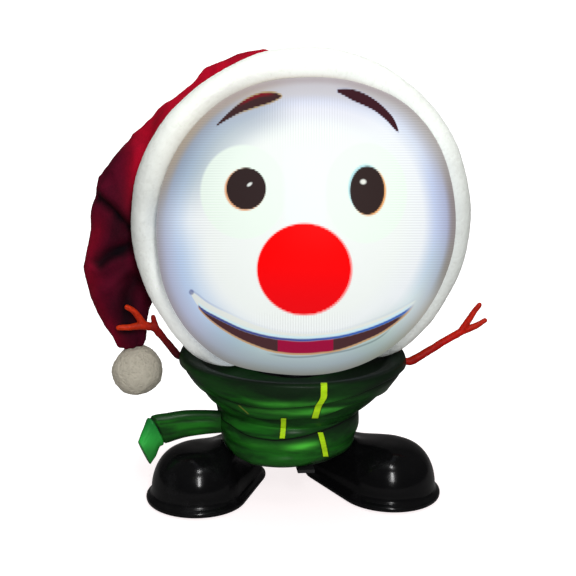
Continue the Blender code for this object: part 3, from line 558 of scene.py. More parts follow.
def velvet_material():
    m, nt, b = new_material("crimson_plush")
    o = obj_coords(nt)
    fold_shade = attr(nt, "fold_shade")
    nap = S(nt, noise_tex(nt, stretch(nt, o, (1.0, 1.0, 0.55)), 38, 4, 0.6, 0.6))
    fine = S(nt, noise_tex(nt, o, 900, 3, 0.6))
    f = (nap * 0.75 + fine * 0.25).step(0.3, 0.72)
    col = mixc(nt, f, srgb(58, 3, 23), srgb(92, 5, 34))
    # painted light: bright crimson over the crown and down the rim
    rim = attr(nt, "rim")
    col = mixc(nt, rim, col, mixc(nt, f, srgb(176, 2, 34), srgb(206, 6, 42)))
    # painted shade: nearly black in the fold valleys and on the folds turned from the light
    col = mixc(nt, fold_shade, col, srgb(14, 5, 12))
    nt.links.new(col, b.inputs["Base Color"])
    b.inputs["Roughness"].default_value = 0.85
    b.inputs["Specular IOR Level"].default_value = 0.08
    b.inputs["Sheen Weight"].default_value = 0.05
    b.inputs["Sheen Roughness"].default_value = 0.3
    b.inputs["Sheen Tint"].default_value = srgb(255, 30, 70)
    p = bump(nt, b, fine, 0.35, 0.0005)
    bump(nt, b, noise_tex(nt, o, 2400, 2, 0.6), 0.25, 0.0003, p)
    return m


def scarf_material(name="scarf_green"):
    """Moulded gloss plastic, painted green, darker in the creases as painted shade, lighter on the
    fullest folds as painted light, with the yellow-green strips painted on the front."""
    m, nt, b = new_material(name)
    o = obj_coords(nt)
    wear = S(nt, noise_tex(nt, stretch(nt, o, (1.0, 1.0, 4.0)), 26, 4, 0.55, 0.3))
    grain = S(nt, noise_tex(nt, stretch(nt, o, (1.0, 1.0, 3.0)), 240, 3, 0.5))
    col = mixc(nt, wear.step(0.35, 0.68), srgb(21, 62, 22), srgb(32, 112, 28))
    px, py = photo_xy(nt)
    # painted light: the tail's turned-over end is lighter, most towards its lower edge
    col = mixc(nt, attr(nt, "tip"), col, mixc(nt, py.step(418, 448), srgb(28, 116, 50), srgb(56, 190, 76)))
    sp = nt.nodes.new("ShaderNodeSeparateXYZ")
    nt.links.new(o, sp.inputs[0])
    xx = S(nt, sp.outputs[0])
    zz = S(nt, sp.outputs[2])
    # painted light: bright green where the folds are fullest
    glow = attr(nt, "glow")
    col = mixc(nt, glow, col, srgb(104, 250, 80))
    # painted shade: darker on the right side and towards the foot
    col = mixc(nt, xx.step(0.018, 0.062) * 0.72, col, srgb(20, 34, 22))
    col = mixc(nt, zz.step(0.058, 0.044) * 0.5, col, srgb(22, 34, 22))
    # painted shade: nearly black along the collar's rim, under the head
    col = mixc(nt, zz.step(0.103, 0.112) * 0.75, col, srgb(18, 27, 19))
    # painted shade in the creases, inside the collar and along its rim
    col = mixc(nt, attr(nt, "crease"), col, srgb(17, 22, 18))
    sep = nt.nodes.new("ShaderNodeSeparateXYZ")
    nt.links.new(o, sep.inputs[0])
    front = S(nt, sep.outputs[1]).step(0.012, 0.004)
    parts = [([(382, 323.8), (392, 324.0), (398, 323.4), (402, 321.2), (406, 318.6), (411, 317.0), (418.5, 314.8)], 3.15, 382.5, 418.3),
             ([(418, 283.6), (428, 283.2), (438.5, 282.2)], 2.55, 418.4, 438.4),
             ([(432, 320.2), (444, 323.4), (457, 326.0)], 2.6, 432.4, 456.6)]
    for pts, hw, y0, y1 in parts:
        xc = py.curve(pts, 270.0, 340.0)
        e = (px - xc).abs()
        on = py.step(y0 - 0.4, y0 + 0.5) * py.step(y1 + 0.5, y1 - 0.4) * front
        col = mixc(nt, e.step(hw + 1.6, hw + 0.2) * py.step(y0 - 2.0, y0) * py.step(y1 + 1.6, y1) * front * 0.8, col, srgb(16, 34, 12))
        yel = mixc(nt, (wear * 0.6 + grain * 0.4).step(0.3, 0.7), srgb(176, 224, 18), srgb(200, 246, 36))
        col = mixc(nt, e.step(hw + 0.35, hw - 0.35) * on, col, yel)
    # a fourth, small strip, dulled by painted shade
    th = py.curve([(405, 238.5), (415, 249.5)], 230.0, 260.0)
    col = mixc(nt, (px - th).abs().step(1.3, 0.4) * py.step(404.6, 406) * py.step(415, 413) * front * 0.6, col, srgb(140, 140, 60))
    nt.links.new(col, b.inputs["Base Color"])
    rough = wear.step(0.2, 0.9) * 0.14 + 0.28 + attr(nt, "crease") * 0.4
    nt.links.new(rough.s, b.inputs["Roughness"])
    b.inputs["Specular IOR Level"].default_value = 0.10
    p = bump(nt, b, grain, 0.10, 0.0004)
    bump(nt, b, noise_tex(nt, o, 1400, 2), 0.04, 0.0002, p)
    return m


def boot_material():
    m, nt, b = new_material("boot_black")
    o = obj_coords(nt)
    dust = S(nt, noise_tex(nt, o, 60, 5, 0.6))
    fine = S(nt, noise_tex(nt, stretch(nt, o, (1.0, 3.5, 1.0)), 700, 3, 0.6))
    col = mixc(nt, (dust * 0.7 + fine * 0.3).step(0.5, 0.8), srgb(12, 12, 13), srgb(27, 27, 28))
    nt.links.new(col, b.inputs["Base Color"])
    rough = dust.step(0.35, 0.85) * 0.10 + fine.step(0.62, 0.9) * 0.06 + 0.13
    nt.links.new(rough.s, b.inputs["Roughness"])
    b.inputs["Specular IOR Level"].default_value = 0.2
    bump(nt, b, noise_tex(nt, o, 22, 2, 0.4), 0.06, 0.0012)
    return m


def twig_material():
    m, nt, b = new_material("twig")
    o = obj_coords(nt)
    sep = nt.nodes.new("ShaderNodeSeparateXYZ")
    nt.links.new(o, sep.inputs[0])
    x = S(nt, sep.outputs[0])
    # along the limb from the collar outwards
    along = (x - 0.0048).abs()
    bark = S(nt, noise_tex(nt, stretch(nt, o, (1.0, 1.6, 1.0)), 260, 4, 0.6, 0.8))
    left = x.step(-0.02, -0.04)
    cl = ramp(nt, along.step(0.088, 0.138), [(0.0, srgb(62, 16, 24)), (0.42, srgb(146, 20, 12)), (0.62, srgb(182, 40, 14)), (1.0, srgb(204, 50, 12))])
    cr = ramp(nt, along.step(0.09, 0.158), [(0.0, srgb(160, 18, 10)), (0.5, srgb(196, 14, 8)), (0.8, srgb(196, 30, 11)), (1.0, srgb(186, 34, 12))])
    col = mixc(nt, left, cr, cl)
    # painted light: faces turned upwards are made lighter orange
    nz = nt.nodes.new("ShaderNodeNewGeometry")
    sn = nt.nodes.new("ShaderNodeSeparateXYZ")
    nt.links.new(nz.outputs["Normal"], sn.inputs[0])
    col = mixc(nt, S(nt, sn.outputs[2]).step(0.25, 0.95) * 0.25, col, srgb(210, 62, 16))
    col = mixc(nt, bark.step(0.62, 0.35) * 0.35, col, srgb(70, 10, 8))
    nt.links.new(col, b.inputs["Base Color"])
    b.inputs["Roughness"].default_value = 0.45
    b.inputs["Specular IOR Level"].default_value = 0.1
    bump(nt, b, bark, 0.25, 0.0005)
    return m


def plastic(name, rgb, rough=0.4, spec=0.4, grain=900, depth=0.12, metal=0.0, tone=0.10):
    """Moulded plastic or metal with a fine grain and an uneven sheen."""
    m, nt, b = new_material(name)
    o = obj_coords(nt)
    big = S(nt, noise_tex(nt, o, 55, 4, 0.6))
    c0 = tuple(max(0.0, c * (1 - tone)) for c in srgb(*rgb)[:3]) + (1.0,)
    c1 = tuple(min(1.0, c * (1 + tone)) for c in srgb(*rgb)[:3]) + (1.0,)
    nt.links.new(mixc(nt, big.step(0.3, 0.7), c0, c1), b.inputs["Base Color"])
    nt.links.new((big.step(0.25, 0.8) * 0.12 + (rough - 0.06)).s, b.inputs["Roughness"])
    b.inputs["Specular IOR Level"].default_value = spec
    b.inputs["Metallic"].default_value = metal
    bump(nt, b, noise_tex(nt, o, grain, 3, 0.6), depth, 0.0003)
    return m


FACE = face_material()
TRIM = fleece_material("cream_fleece", srgb(226, 230, 225), srgb(214, 217, 211), 0.04)
POM = fleece_material("grey_fleece", srgb(193, 187, 171), srgb(166, 160, 145), 0.08)
VELVET = velvet_material()
SCARF = scarf_material()
BOOT = boot_material()
TWIG = twig_material()
FROST_EDGE = plastic("frosted_edge", (222, 226, 232), 0.5, 0.3)
WHITE = plastic("white_plastic", (226, 226, 224), 0.45, 0.4)
MATT = plastic("matt_black", (30, 30, 31), 0.5, 0.3)
STEEL = plastic("plated_steel", (176, 178, 180), 0.3, 0.5, 1600, 0.08, 1.0)
ALU = plastic("aluminium", (196, 198, 202), 0.34, 0.5, 1900, 0.10, 1.0)
BOARD = plastic("circuit_board", (22, 92, 52), 0.4, 0.4)
GLASS = plastic("lens_glass", (206, 216, 222), 0.07, 0.5, 300, 0.01)
PAPER = plastic("cone_paper", (40, 39, 38), 0.85, 0.2, 1500, 0.4)
CELL = plastic("cell_jacket", (54, 70, 92), 0.32, 0.5)
RUBBER = plastic("rubber", (26, 26, 27), 0.8, 0.2, 1500, 0.3)
BUTTON = plastic("red_button", (178, 16, 22), 0.3, 0.45)
SLOT_LOOK = {"frosted_dome": FROST_EDGE, "white_plastic": WHITE, "red_plush": VELVET, "cream_fleece": TRIM,
             "grey_fleece": POM, "green_gloss": SCARF, "gloss_black": BOOT, "matt_black": MATT, "twig_plastic": TWIG,
             "circuit_board": BOARD, "plated_steel": STEEL, "aluminium": ALU, "lens_glass": GLASS, "cone_paper": PAPER,
             "cell_jacket": CELL, "rubber": RUBBER, "red_button": BUTTON}


def unit(v):
    return v / np.maximum(np.linalg.norm(v, axis=-1, keepdims=True), 1e-9)


# ------------------------------------------------------------------ outline of the dome
# How far the dome shows in the photograph, by direction in the picture (degrees,
# anticlockwise from the right) and in its pixels from (307, 226), and how far a
# plain ball would show. The real one is a little longer from lower left to upper
# right, which is a matter of millimetres.
OPEN = [(-180, 149.8), (-168, 151.0), (-160, 154.0), (-150, 156.4), (-140, 158.2), (-130, 158.4), (-121, 158.0), (-115, 155.2), (-108, 151.8),
        (-100, 149.4), (-90, 148.4), (-75, 148.2), (-60, 147.8), (-45, 146.4), (-30, 145.8), (-20, 146.2), (-10, 147.3), (0, 148.0), (10, 148.8),
        (21, 151.2), (30, 154.0), (39, 155.6), (48, 156.4), (56, 155.6), (65, 152.6), (74, 150.8), (85, 148.2), (93, 147.4), (108, 149.4),
        (120, 150.8), (142, 150.4), (162, 150.0), (180, 149.8)]
BALL = [(-180, 147.5), (-150, 148.0), (-120, 148.7), (-91, 149.5), (-61, 150.0), (-32, 150.2), (-2, 150.2), (28, 149.9), (58, 149.4), (88, 148.6),
        (118, 147.9), (149, 147.5), (180, 147.5)]
_deg = np.arange(-180, 180)
_k = np.exp(-(np.arange(-12, 13) / 4.0) ** 2)
_open = np.interp(_deg, *zip(*OPEN))
_open = np.convolve(np.r_[_open[-12:], _open, _open[:12]], _k / _k.sum(), "valid")


def opening(ang):
    return np.interp((np.asarray(ang, float) + 180) % 360 - 180, np.r_[_deg, 180], np.r_[_open, _open[0]])


def polar(P):
    """Direction and distance in the picture from the middle of the face, and the unit step outwards."""
    X, Y = project(P)
    dx, dy = X - 307.0, Y - 226.0
    rho = np.maximum(np.hypot(dx, dy), 1e-6)
    return np.degrees(np.arctan2(-dy, dx)), rho, dx / rho, dy / rho


def picture_move(P, dx, dy):
    """Points moved by so many pixels of the photograph at the depth they have."""
    d = CAM_D + P[..., 0] * math.sin(PSI) + P[..., 1] * math.cos(PSI)
    zc = (d * math.cos(PITCH) - (P[..., 2] - CAM_H) * math.sin(PITCH)) / FOCAL
    c, s = math.cos(ROLL), math.sin(ROLL)
    du, dv = dx * c + dy * s, dy * c - dx * s
    R = np.array([math.cos(PSI), -math.sin(PSI), 0.0])
    U = np.array([math.sin(PSI) * math.sin(PITCH), math.cos(PSI) * math.sin(PITCH), math.cos(PITCH)])
    return P + (du * zc)[..., None] * R - (dv * zc)[..., None] * U


def swell(P, sign=1.0):
    """Plain ball to the head's own outline; only the front half takes part."""
    ang, rho, ux, uy = polar(P)
    k = (opening(ang) + 0.8) / np.interp(ang, *zip(*BALL)) - 1.0
    w = np.minimum(rho / 150.0, 1.1) ** 1.6 * sstep(25.0, 11.0, P[..., 1] - HEAD[1])
    m = sign * 150.0 * k * w
    return picture_move(P, ux * m, uy * m)


def unswell(P):
    Q = P.copy()
    for _ in range(4):
        Q = Q + (P - swell(Q))
    return Q


# ------------------------------------------------------------------ face dome
def face_dome():
    """Half ball, 2.4 mm thick, from the front pole to the plane where it meets the rear shell."""
    split = -12.0 - HEAD[1] - 0.15
    rows_o, rows_i = 150, 60
    nv = 288
    a1 = math.acos(split / HEAD_R)
    b1 = math.acos(split / (HEAD_R - 2.4))
    t = np.linspace(0, 2 * math.pi, nv, endpoint=False)
    P, F = [], []
    # angle measured from the front pole
    oa = np.linspace(0, math.pi - a1, rows_o + 1)[1:]
    ia = np.linspace(math.pi - b1, 0, rows_i + 1)[:-1]
    rings = [(HEAD_R * math.sin(a), -HEAD_R * math.cos(a)) for a in oa] + [((HEAD_R - 2.4) * math.sin(a), -(HEAD_R - 2.4) * math.cos(a)) for a in ia]
    P.append([[HEAD[0], HEAD[1] - HEAD_R, HEAD[2]]])
    for r, y in rings:
        P.append(np.stack([HEAD[0] + r * np.cos(t), np.full(nv, HEAD[1] + y), HEAD[2] + r * np.sin(t)], -1))
    P.append([[HEAD[0], HEAD[1] - HEAD_R + 2.4, HEAD[2]]])
    V = np.vstack([np.asarray(p, float) for p in P])
    n = len(rings)
    for j in range(nv):
        k = (j + 1) % nv
        F.append((0, 1 + j, 1 + k))
        F.append((1 + n * nv, 1 + (n - 1) * nv + k, 1 + (n - 1) * nv + j))
    F += [tuple(f + 1) for f in grid_faces(n, nv, False, True)]
    turn = (unit(V - HEAD) * unit(EYE - V)).sum(-1)
    V = swell(V)
    ob = make("dome_shell", V, F, FACE)
    add_value(ob, "beyond", sstep(0.10, -0.16, turn))
    ang, rho = polar(V)[:2]
    add_value(ob, "span", 1.0 + (150.0 / opening(ang) - 1.0) * sstep(20, 80, rho))
    add_front_map(ob)
    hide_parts("face_dome")
    return ob


face_dome()


# ------------------------------------------------------------------ hat trim
RC = 131.2 - 11.2
TH0 = math.degrees(math.atan2(RC, 29.0))
TRIM_RHO = math.hypot(RC, 29.0)


def trim_polar(phi):
    return TH0 + (47.0 - TH0) * sstep(0, 40, np.abs(phi) - 140.0)


def head_point(rho, theta, phi):
    th, ph = np.radians(theta), np.radians(phi)
    return np.stack([HAT[0] + rho * np.sin(th) * np.sin(ph), HAT[1] + rho * np.cos(th) + 0 * ph, HAT[2] + rho * np.sin(th) * np.cos(ph)], -1)


def tufts(P, N, small, big, seed):
    """Short dense pile: nubs of about 2 mm that lean a little, over a slow swell.
    Returns moved points and how high each stands, 0 to 1."""
    warp = np.stack([vnoise(P / 5.0, seed + 11 + k) for k in range(3)], -1) * 1.1
    Q = P + warp
    a = vnoise(Q / 1.9, seed)
    b = vnoise(Q / 1.1, seed + 3)
    nub = np.clip(0.62 * (1 - np.abs(a) * 1.6) + 0.38 * b, -0.6, 1.0)
    slow = vnoise(P / 26.0, seed + 5) + 0.5 * vnoise(P / 12.0, seed + 6)
    lean = np.stack([vnoise(P / 3.2, seed + 20 + k) for k in range(3)], -1) * small * 0.5
    return P + N * (nub * small + slow * big)[..., None] + lean, np.clip(nub * 0.6 + 0.4, 0, 1)


def hat_trim():
    nu, nv = 900, 110
    phi = np.linspace(-180, 180, nu, endpoint=False)
    e = 0.5
    wrap = lambda p: (p + 180) % 360 - 180
    c = head_point(TRIM_RHO, trim_polar(phi), phi)
    c1 = head_point(TRIM_RHO, trim_polar(wrap(phi - e)), phi - e)
    c2 = head_point(TRIM_RHO, trim_polar(wrap(phi + e)), phi + e)
    tan = unit(c2 - c1)
    out = c - HAT
    low = sstep(0, 40, np.abs(phi) - 140.0)[:, None]
    ov = unit(out * np.array([1.0, 0, 1.0])) * (1 - low) + unit(out) * low
    ov = unit(ov - tan * (tan * ov).sum(-1, keepdims=True))
    sv = unit(np.cross(tan, ov))
    t = np.linspace(0, 2 * math.pi, nv, endpoint=False)
    a = 11.2 * (1 - 0.22 * low)
    b = 16.0 * (1 - 0.35 * low)
    # a sewn roll: plump across, with shallow pinches where the stitches pull
    pinch = 1 - 0.035 * (0.5 + 0.5 * np.cos(np.radians(phi * 9 + 40)))[:, None] ** 6 - 0.02 * (0.5 + 0.5 * np.cos(np.radians(phi * 14 + 100)))[:, None] ** 4
    ct, st = np.cos(t)[None], np.sin(t)[None]
    # plump towards the dome, where it is pressed flat
    a = a * (1 + 0.42 * np.clip(-ct, 0, 1) ** 0.8 * (1 - low))
    P = c[:, None] + ov[:, None] * (a * ct * pinch)[..., None] + sv[:, None] * (b * st * pinch)[..., None]
    N = unit(ov[:, None] * (ct / a)[..., None] + sv[:, None] * (st / b)[..., None])
    P, h = tufts(P, N, 0.24, 0.30, 3)
    P = P - N * 0.3

    # the roll lies on the dome, so nothing of it is let into the dome
    def clear_of_dome(P):
        Q = unswell(P)
        d = Q - HEAD
        r = np.linalg.norm(d, axis=-1, keepdims=True)
        return swell(np.where(r < HEAD_R + 0.15, HEAD + d / r * (HEAD_R + 0.15), Q)), Q

    # its inner edge is pulled to where the dome stops showing, its outer edge stays
    ring_k = np.exp(-(np.arange(-24, 25) / 9.0) ** 2)
    for _ in range(3):
        P, Q = clear_of_dome(P)
        ang, rho, ux, uy = polar(P)
        v = Q - EYE
        L = np.linalg.norm(v, axis=-1)
        tca = (v @ (HEAD - EYE)) / L
        d2 = ((HEAD - EYE) ** 2).sum() - tca ** 2
        hid = (d2 < HEAD_R ** 2) & (tca - np.sqrt(np.maximum(HEAD_R ** 2 - d2, 0)) < L - 0.4)
        seen = ~hid & (P[..., 1] - HEAD[1] < 40)
        inner = np.where(seen, rho, 1e9).min(1)
        i = np.where(seen, rho, 1e9).argmin(1)
        outer = rho.max(1)
        a_in = ang[np.arange(nu), i]
        shift = np.where(inner < 1e8, opening(a_in) - 2.2 * sstep(52, 70, a_in) * sstep(178, 166, a_in) - inner, 0.0)
        shift = np.clip(shift, -6.0, 16.0)
        shift = np.convolve(np.r_[shift[-24:], shift, shift[:24]], ring_k / ring_k.sum(), "valid")
        w = np.clip((outer[:, None] - rho) / np.maximum(outer - np.minimum(inner, outer - 4), 4)[:, None], 0, 1)
        w = w * sstep(46.0, 26.0, P[..., 1] - HEAD[1])
        P = picture_move(P, ux * w * shift[:, None], uy * w * shift[:, None])
    # and where it laps the collar at the left it hangs a little lower
    ang, rho, ux, uy = polar(P)
    lap = 4.5 * np.exp(-((ang + 131) / 13.0) ** 2) * sstep(52.0, 40.0, P[..., 1] - HEAD[1])
    lap = lap - 2.4 * np.exp(-((ang - 122) / 17.0) ** 2) * sstep(150.0, 172.0, rho) * sstep(60.0, 45.0, P[..., 1] - HEAD[1])
    P = picture_move(P, ux * lap, uy * lap)
    P, Q = clear_of_dome(P)
    ang = polar(P)[0]
    ob = make("hat_trim_roll", P.reshape(-1, 3), grid_faces(nu, nv, True, True), TRIM)
    add_value(ob, "tuft", h.ravel())
    gap = np.linalg.norm(Q - HEAD, axis=-1) - HEAD_R
    front = sstep(4.0, -8.0, (P - c[:, None])[..., 1])
    # painted light: the fleece is painted whiter round the crown and where it laps the collar
    ba = np.interp(ang, [-180, -165, -150, -128, -110, -60, 6, 36, 140, 168, 180], [0.0, 0.55, 1.0, 1.0, 0.5, 0.15, 0.0, 1.0, 1.0, 0.0, 0.0])
    add_value(ob, "painted_light", ba.ravel())
    # painted light: a faint glow where the roll laps the collar
    add_value(ob, "lap", (np.exp(-((ang + 140) / 20.0) ** 2) * sstep(50.0, 30.0, P[..., 1] - HEAD[1]) * (0.75 + 0.25 * h)).ravel())
    # painted shade: warmer and darker where the roll lies close against the dome
    add_value(ob, "tuck_shade", (np.exp(-(np.maximum(gap - 0.1, 0) / 2.4) ** 1.2) * front).ravel())
    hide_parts("hat_trim")
    return ob


hat_trim()


# ------------------------------------------------------------------ pompom
def pompom():
    bm = bmesh.new()
    bmesh.ops.create_icosphere(bm, subdivisions=7, radius=1.0)
    me = bpy.data.meshes.new("tmp")
    bm.to_mesh(me)
    bm.free()
    U = np.empty(len(me.vertices) * 3)
    me.vertices.foreach_get("co", U)
    U = U.reshape(-1, 3)
    F = [tuple(p.vertices) for p in me.polygons]
    bpy.data.meshes.remove(me)
    U = unit(U)
    k = 1 + 0.03 * vnoise(U * 1.7, 8) + 0.02 * vnoise(U * 3.1, 9)
    C = np.array([-122.5, 20.0, 100.6])
    R = np.array([20.4, 20.0, 20.8])
    # drawn in on top where the tail's end is gathered and sewn down
    up = np.clip(U[:, 2], 0, 1)
    shape = np.ones_like(U)
    shape[:, 0] = shape[:, 1] = 1 - 0.16 * up ** 1.4 + 0.03 * np.clip(-U[:, 2], 0, 1)
    P = C + U * R * shape * k[:, None] * 0.975
    P, h = tufts(P, U, 0.5, 0.5, 31)
    clump = vnoise(P / 7.0, 41)
    P = P + U * (0.4 * clump)[:, None]
    ob = make("pompom_ball", P, F, POM)
    add_value(ob, "tuft", np.clip(h * 0.75 + 0.25 * (clump * 0.5 + 0.5), 0, 1))
    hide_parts("hat_pompom")


pompom()


# ------------------------------------------------------------------ hat bag and its folded tail
def seg_dist(px, py, pts):
    """Distance in the picture to a line of points, and which side (above is positive)."""
    best = np.full(px.shape, 1e9)
    side = np.zeros(px.shape)
    along = np.zeros(px.shape)
    pts = np.asarray(pts, float)
    L = np.r_[0, np.cumsum(np.linalg.norm(np.diff(pts, axis=0), axis=1))]
    for i in range(len(pts) - 1):
        a, b = pts[i], pts[i + 1]
        d = b - a
        t = np.clip(((px - a[0]) * d[0] + (py - a[1]) * d[1]) / (d @ d), 0, 1)
        qx, qy = a[0] + d[0] * t, a[1] + d[1] * t
        r = np.hypot(px - qx, py - qy)
        s = (d[0] * (py - qy) - d[1] * (px - qx))
        m = r < best
        best = np.where(m, r, best)
        side = np.where(m, np.sign(s), side)
        along = np.where(m, (L[i] + t * (L[i + 1] - L[i])) / L[-1], along)
    return best, side, along


def hat_bag():
    node = frame["nodes"]["hat_bag"]
    me = node.data.copy()
    me.name = "hat_bag_plush"
    ob = bpy.data.objects.new("hat_bag_plush", me)
    ob.matrix_world = node.matrix_world.copy()
    bpy.context.scene.collection.objects.link(ob)
    me.transform(ob.matrix_world)
    ob.matrix_world = Matrix.Identity(4)
    me.materials.clear()
    bm = bmesh.new()
    bm.from_mesh(me)
    bmesh.ops.remove_doubles(bm, verts=bm.verts, dist=1e-6)
    bm.to_mesh(me)
    bm.free()
    r = ob.modifiers.new("remesh", "REMESH")
    r.mode = "VOXEL"
    r.voxel_size = 0.0024
    r.adaptivity = 0
    s = ob.modifiers.new("soft", "SMOOTH")
    s.factor = 0.5
    s.iterations = 30
    evaluated(ob)
    P = points(ob)
    N = normals_of(ob)
    # plump again what the smoothing took off, except against the head
    d = P - HAT
    rad = np.linalg.norm(d, axis=1)
    outer = sstep(112.6, 115.0, rad)
    P = P + N * (0.9 * outer)[:, None]
    drop = sstep(146, 123, P[:, 2]) * sstep(-84, -96, P[:, 0])
    P[:, 2] -= 3.6 * drop
    P[:, 0] += 1.4 * drop
    px, py = project(P)
    view = np.array([-math.sin(PSI), -math.cos(PSI), 0.35])
    view = view / np.linalg.norm(view)
    facing = np.clip(N @ view, 0, 1)
    tail = sstep(-84, -96, P[:, 0])
    fold_shade = np.zeros(len(P))
    F = sstep(0.05, 0.35, facing)
    move = np.zeros(len(P))
    # the fold where the bag turns over: a pinched valley, a raised facet above it; the valley is also painted dark as
    # shade
    for pts, wid, depth, up, width_up, dark in (
            ([(90, 190), (99, 201), (112, 213), (122, 223), (133, 233)], 5.0, -6.0, 3.4, 17.0, 0.85),
            ([(136, 246), (126, 249), (116, 252), (104, 257), (93, 268)], 6.5, -7.0, 2.6, 12.0, 0.95),
            ([(142, 272), (133, 288), (128, 306), (126, 322), (127, 338)], 8.0, -5.5, 1.2, 14.0, 0.9)):
        r, sd, al = seg_dist(px, py, pts)
        end = sstep(0, 0.14, al) * sstep(1.0, 0.9, al)
        g = np.exp(-(r / wid) ** 2)
        move += F * g * depth * end
        fold_shade = np.maximum(fold_shade, F * np.exp(-(r / (wid * 1.25)) ** 2) * dark * end)
        band = np.exp(-((r - width_up * 0.62) / (width_up * 0.5)) ** 2)
        move += F * band * up * end * (sd < 0)
    r, sd, al = seg_dist(px, py, [(92, 302), (102, 292), (116, 280), (134, 266)])
    move += F * np.exp(-(r / 5.5) ** 2) * 4.2 * sstep(0, 0.15, al)
    # slack wrinkles: across the tail's upper half and fanning out from the trim
    r2, _, al2 = seg_dist(px, py, [(104, 330), (112, 312), (118, 300), (122, 288)])
    move += F * np.exp(-(r2 / 4.5) ** 2) * 1.6
    W = fbm(P * np.array([1.0, 1.0, 0.7]), 30.0, 3, 51)
    move += outer * W * 1.9
    ridge = 1 - np.abs(vnoise(P * np.array([1.2, 0.8, 0.55]) / 17.0, 61))
    move += outer * (ridge ** 3 - 0.25) * 1.5 * (0.5 + 0.5 * tail)
    # gathers along the seam behind the trim
    ph = np.degrees(np.arctan2(d[:, 0], d[:, 2]))
    th = np.degrees(np.arccos(np.clip(d[:, 1] / np.maximum(rad, 1), -1, 1)))
    edge = trim_polar(ph) - 9.0
    near = np.exp(-((edge - th) / 7.0) ** 2) * sstep(150, 130, np.abs(ph))
    move += outer * near * (np.sin(np.radians(ph * 24) + 2.0 * vnoise(P / 21.0, 71)) * 0.8 - 0.3)
    # gathers where the tail narrows to the ball
    neck = sstep(150, 126, P[:, 2]) * tail
    an = np.arctan2(P[:, 1] - 24, P[:, 0] + 130)
    move += neck * np.sin(an * 9 + 1.5 * vnoise(P / 14.0, 81)) * 1.1
    # the slack of the crown stands up in two soft peaks beside the roll
    push = np.interp(py, [50, 56, 62, 68, 74, 80, 86, 92, 98, 104, 110, 128, 146, 158, 170, 176, 188, 206, 230, 248, 266, 290],
                     [1.5, -2.5, 1, 2.5, 0, -3, -4.6, -4.4, 0, 4, 4.6, 5, 6.4, 5.6, 4.8, 2.4, 0, -1.5, -3.6, -2, -1, 0])
    line = np.interp(py, [50, 64, 80, 104, 128, 152, 176, 216, 264, 304], [255, 213, 193, 164, 142, 120, 100, 91, 84, 94])
    w = np.exp(-((px - line) / 30.0) ** 2) * outer * sstep(300, 250, px)
    P[:, 0] -= push * w
    P[:, 2] += 0.35 * np.maximum(push, 0) * w + 3.2 * np.exp(-((px - 262) / 24.0) ** 2) * sstep(70, 54, py) * outer
    # a sewn seam over the crown, front to back
    crown = np.exp(-((P[:, 0] - 4.6 - 4 * vnoise(P / 40, 91)) / 1.6) ** 2) * sstep(0, 20, P[:, 2] - HAT[2]) * outer * (1 - tail)
    move -= crown * 1.3
    P = P + N * move[:, None]
    set_points(ob, P)
    # fuller mesh, then the nap
    s = ob.modifiers.new("s0", "SMOOTH")
    s.factor = 0.4
    s.iterations = 2
    s = ob.modifiers.new("fine", "SUBSURF")
    s.levels = s.render_levels = 1
    # painted light: the cloth is painted bright crimson over the crown beside the trim and
    # down the rim and its left edge, as if lit from above, and keeps its deep wine in the slack of the tail
    top = sstep(188, 120, py) * sstep(118, 150, px)
    d0 = P - HAT
    ph = np.degrees(np.arctan2(d0[:, 0], d0[:, 2]))
    th = np.degrees(np.arccos(np.clip(d0[:, 1] / np.maximum(np.linalg.norm(d0, axis=1), 1), -1, 1)))
    strip = np.exp(-(np.maximum(np.hypot(px - 302, py - 220) - 172.0, 0) / 7.0) ** 1.5) * sstep(240, 170, py)
    top = np.maximum(top, sstep(144, 104, py)) * np.exp(-(np.maximum(trim_polar(ph) - 14.0 - th, 0) / 16.0) ** 2)
    left = np.exp(-((px - np.interp(py, [176, 216, 264, 304, 352], [100, 91, 84, 94, 120])) / 11.0) ** 2) * sstep(200, 235, py) * 0.3
    rim = np.clip(np.maximum(np.maximum(top, strip * 0.75), left), 0, 1) * (0.8 + 0.2 * vnoise(P / 15.0, 99))
    # painted shade: dark patches on the slack facing the front, over the fold valleys
    dusk = np.exp(-((px - 118) / 18.0) ** 2 - ((py - 224) / 30.0) ** 2) * 0.6 + np.exp(-((px - 128) / 15.0) ** 2 - ((py - 296) / 34.0) ** 2) * 0.7
    dusk = np.maximum(dusk, np.exp(-((px - 122) / 10.0) ** 2 - ((py - 222) / 13.0) ** 2) * 0.4) * F
    fold_shade = np.clip(np.maximum(fold_shade, dusk) + 0.25 * fold_shade * vnoise(P / 9.0, 98), 0, 1)
    add_value(ob, "fold_shade", fold_shade)
    add_value(ob, "rim", rim)
    evaluated(ob)
    P = points(ob)
    N = normals_of(ob)
    nap = vnoise((P + 0.8 * vnoise(P / 4.0, 95)[:, None]) / 1.7, 93)
    rad = np.linalg.norm(P - HAT, axis=1)
    P = P + N * (nap * 0.16 * sstep(112.6, 114.5, rad))[:, None]
    # nothing goes into the head
    d = P - HAT
    rad = np.linalg.norm(d, axis=1, keepdims=True)
    P = np.where(rad < 111.2, HAT + d / rad * 111.2, P)
    set_points(ob, P)
    ob.data.materials.clear()
    ob.data.materials.append(VELVET)
    ob.data.shade_smooth()
    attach(ob, "figure")
    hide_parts("hat_bag")
    return ob


hat_bag()


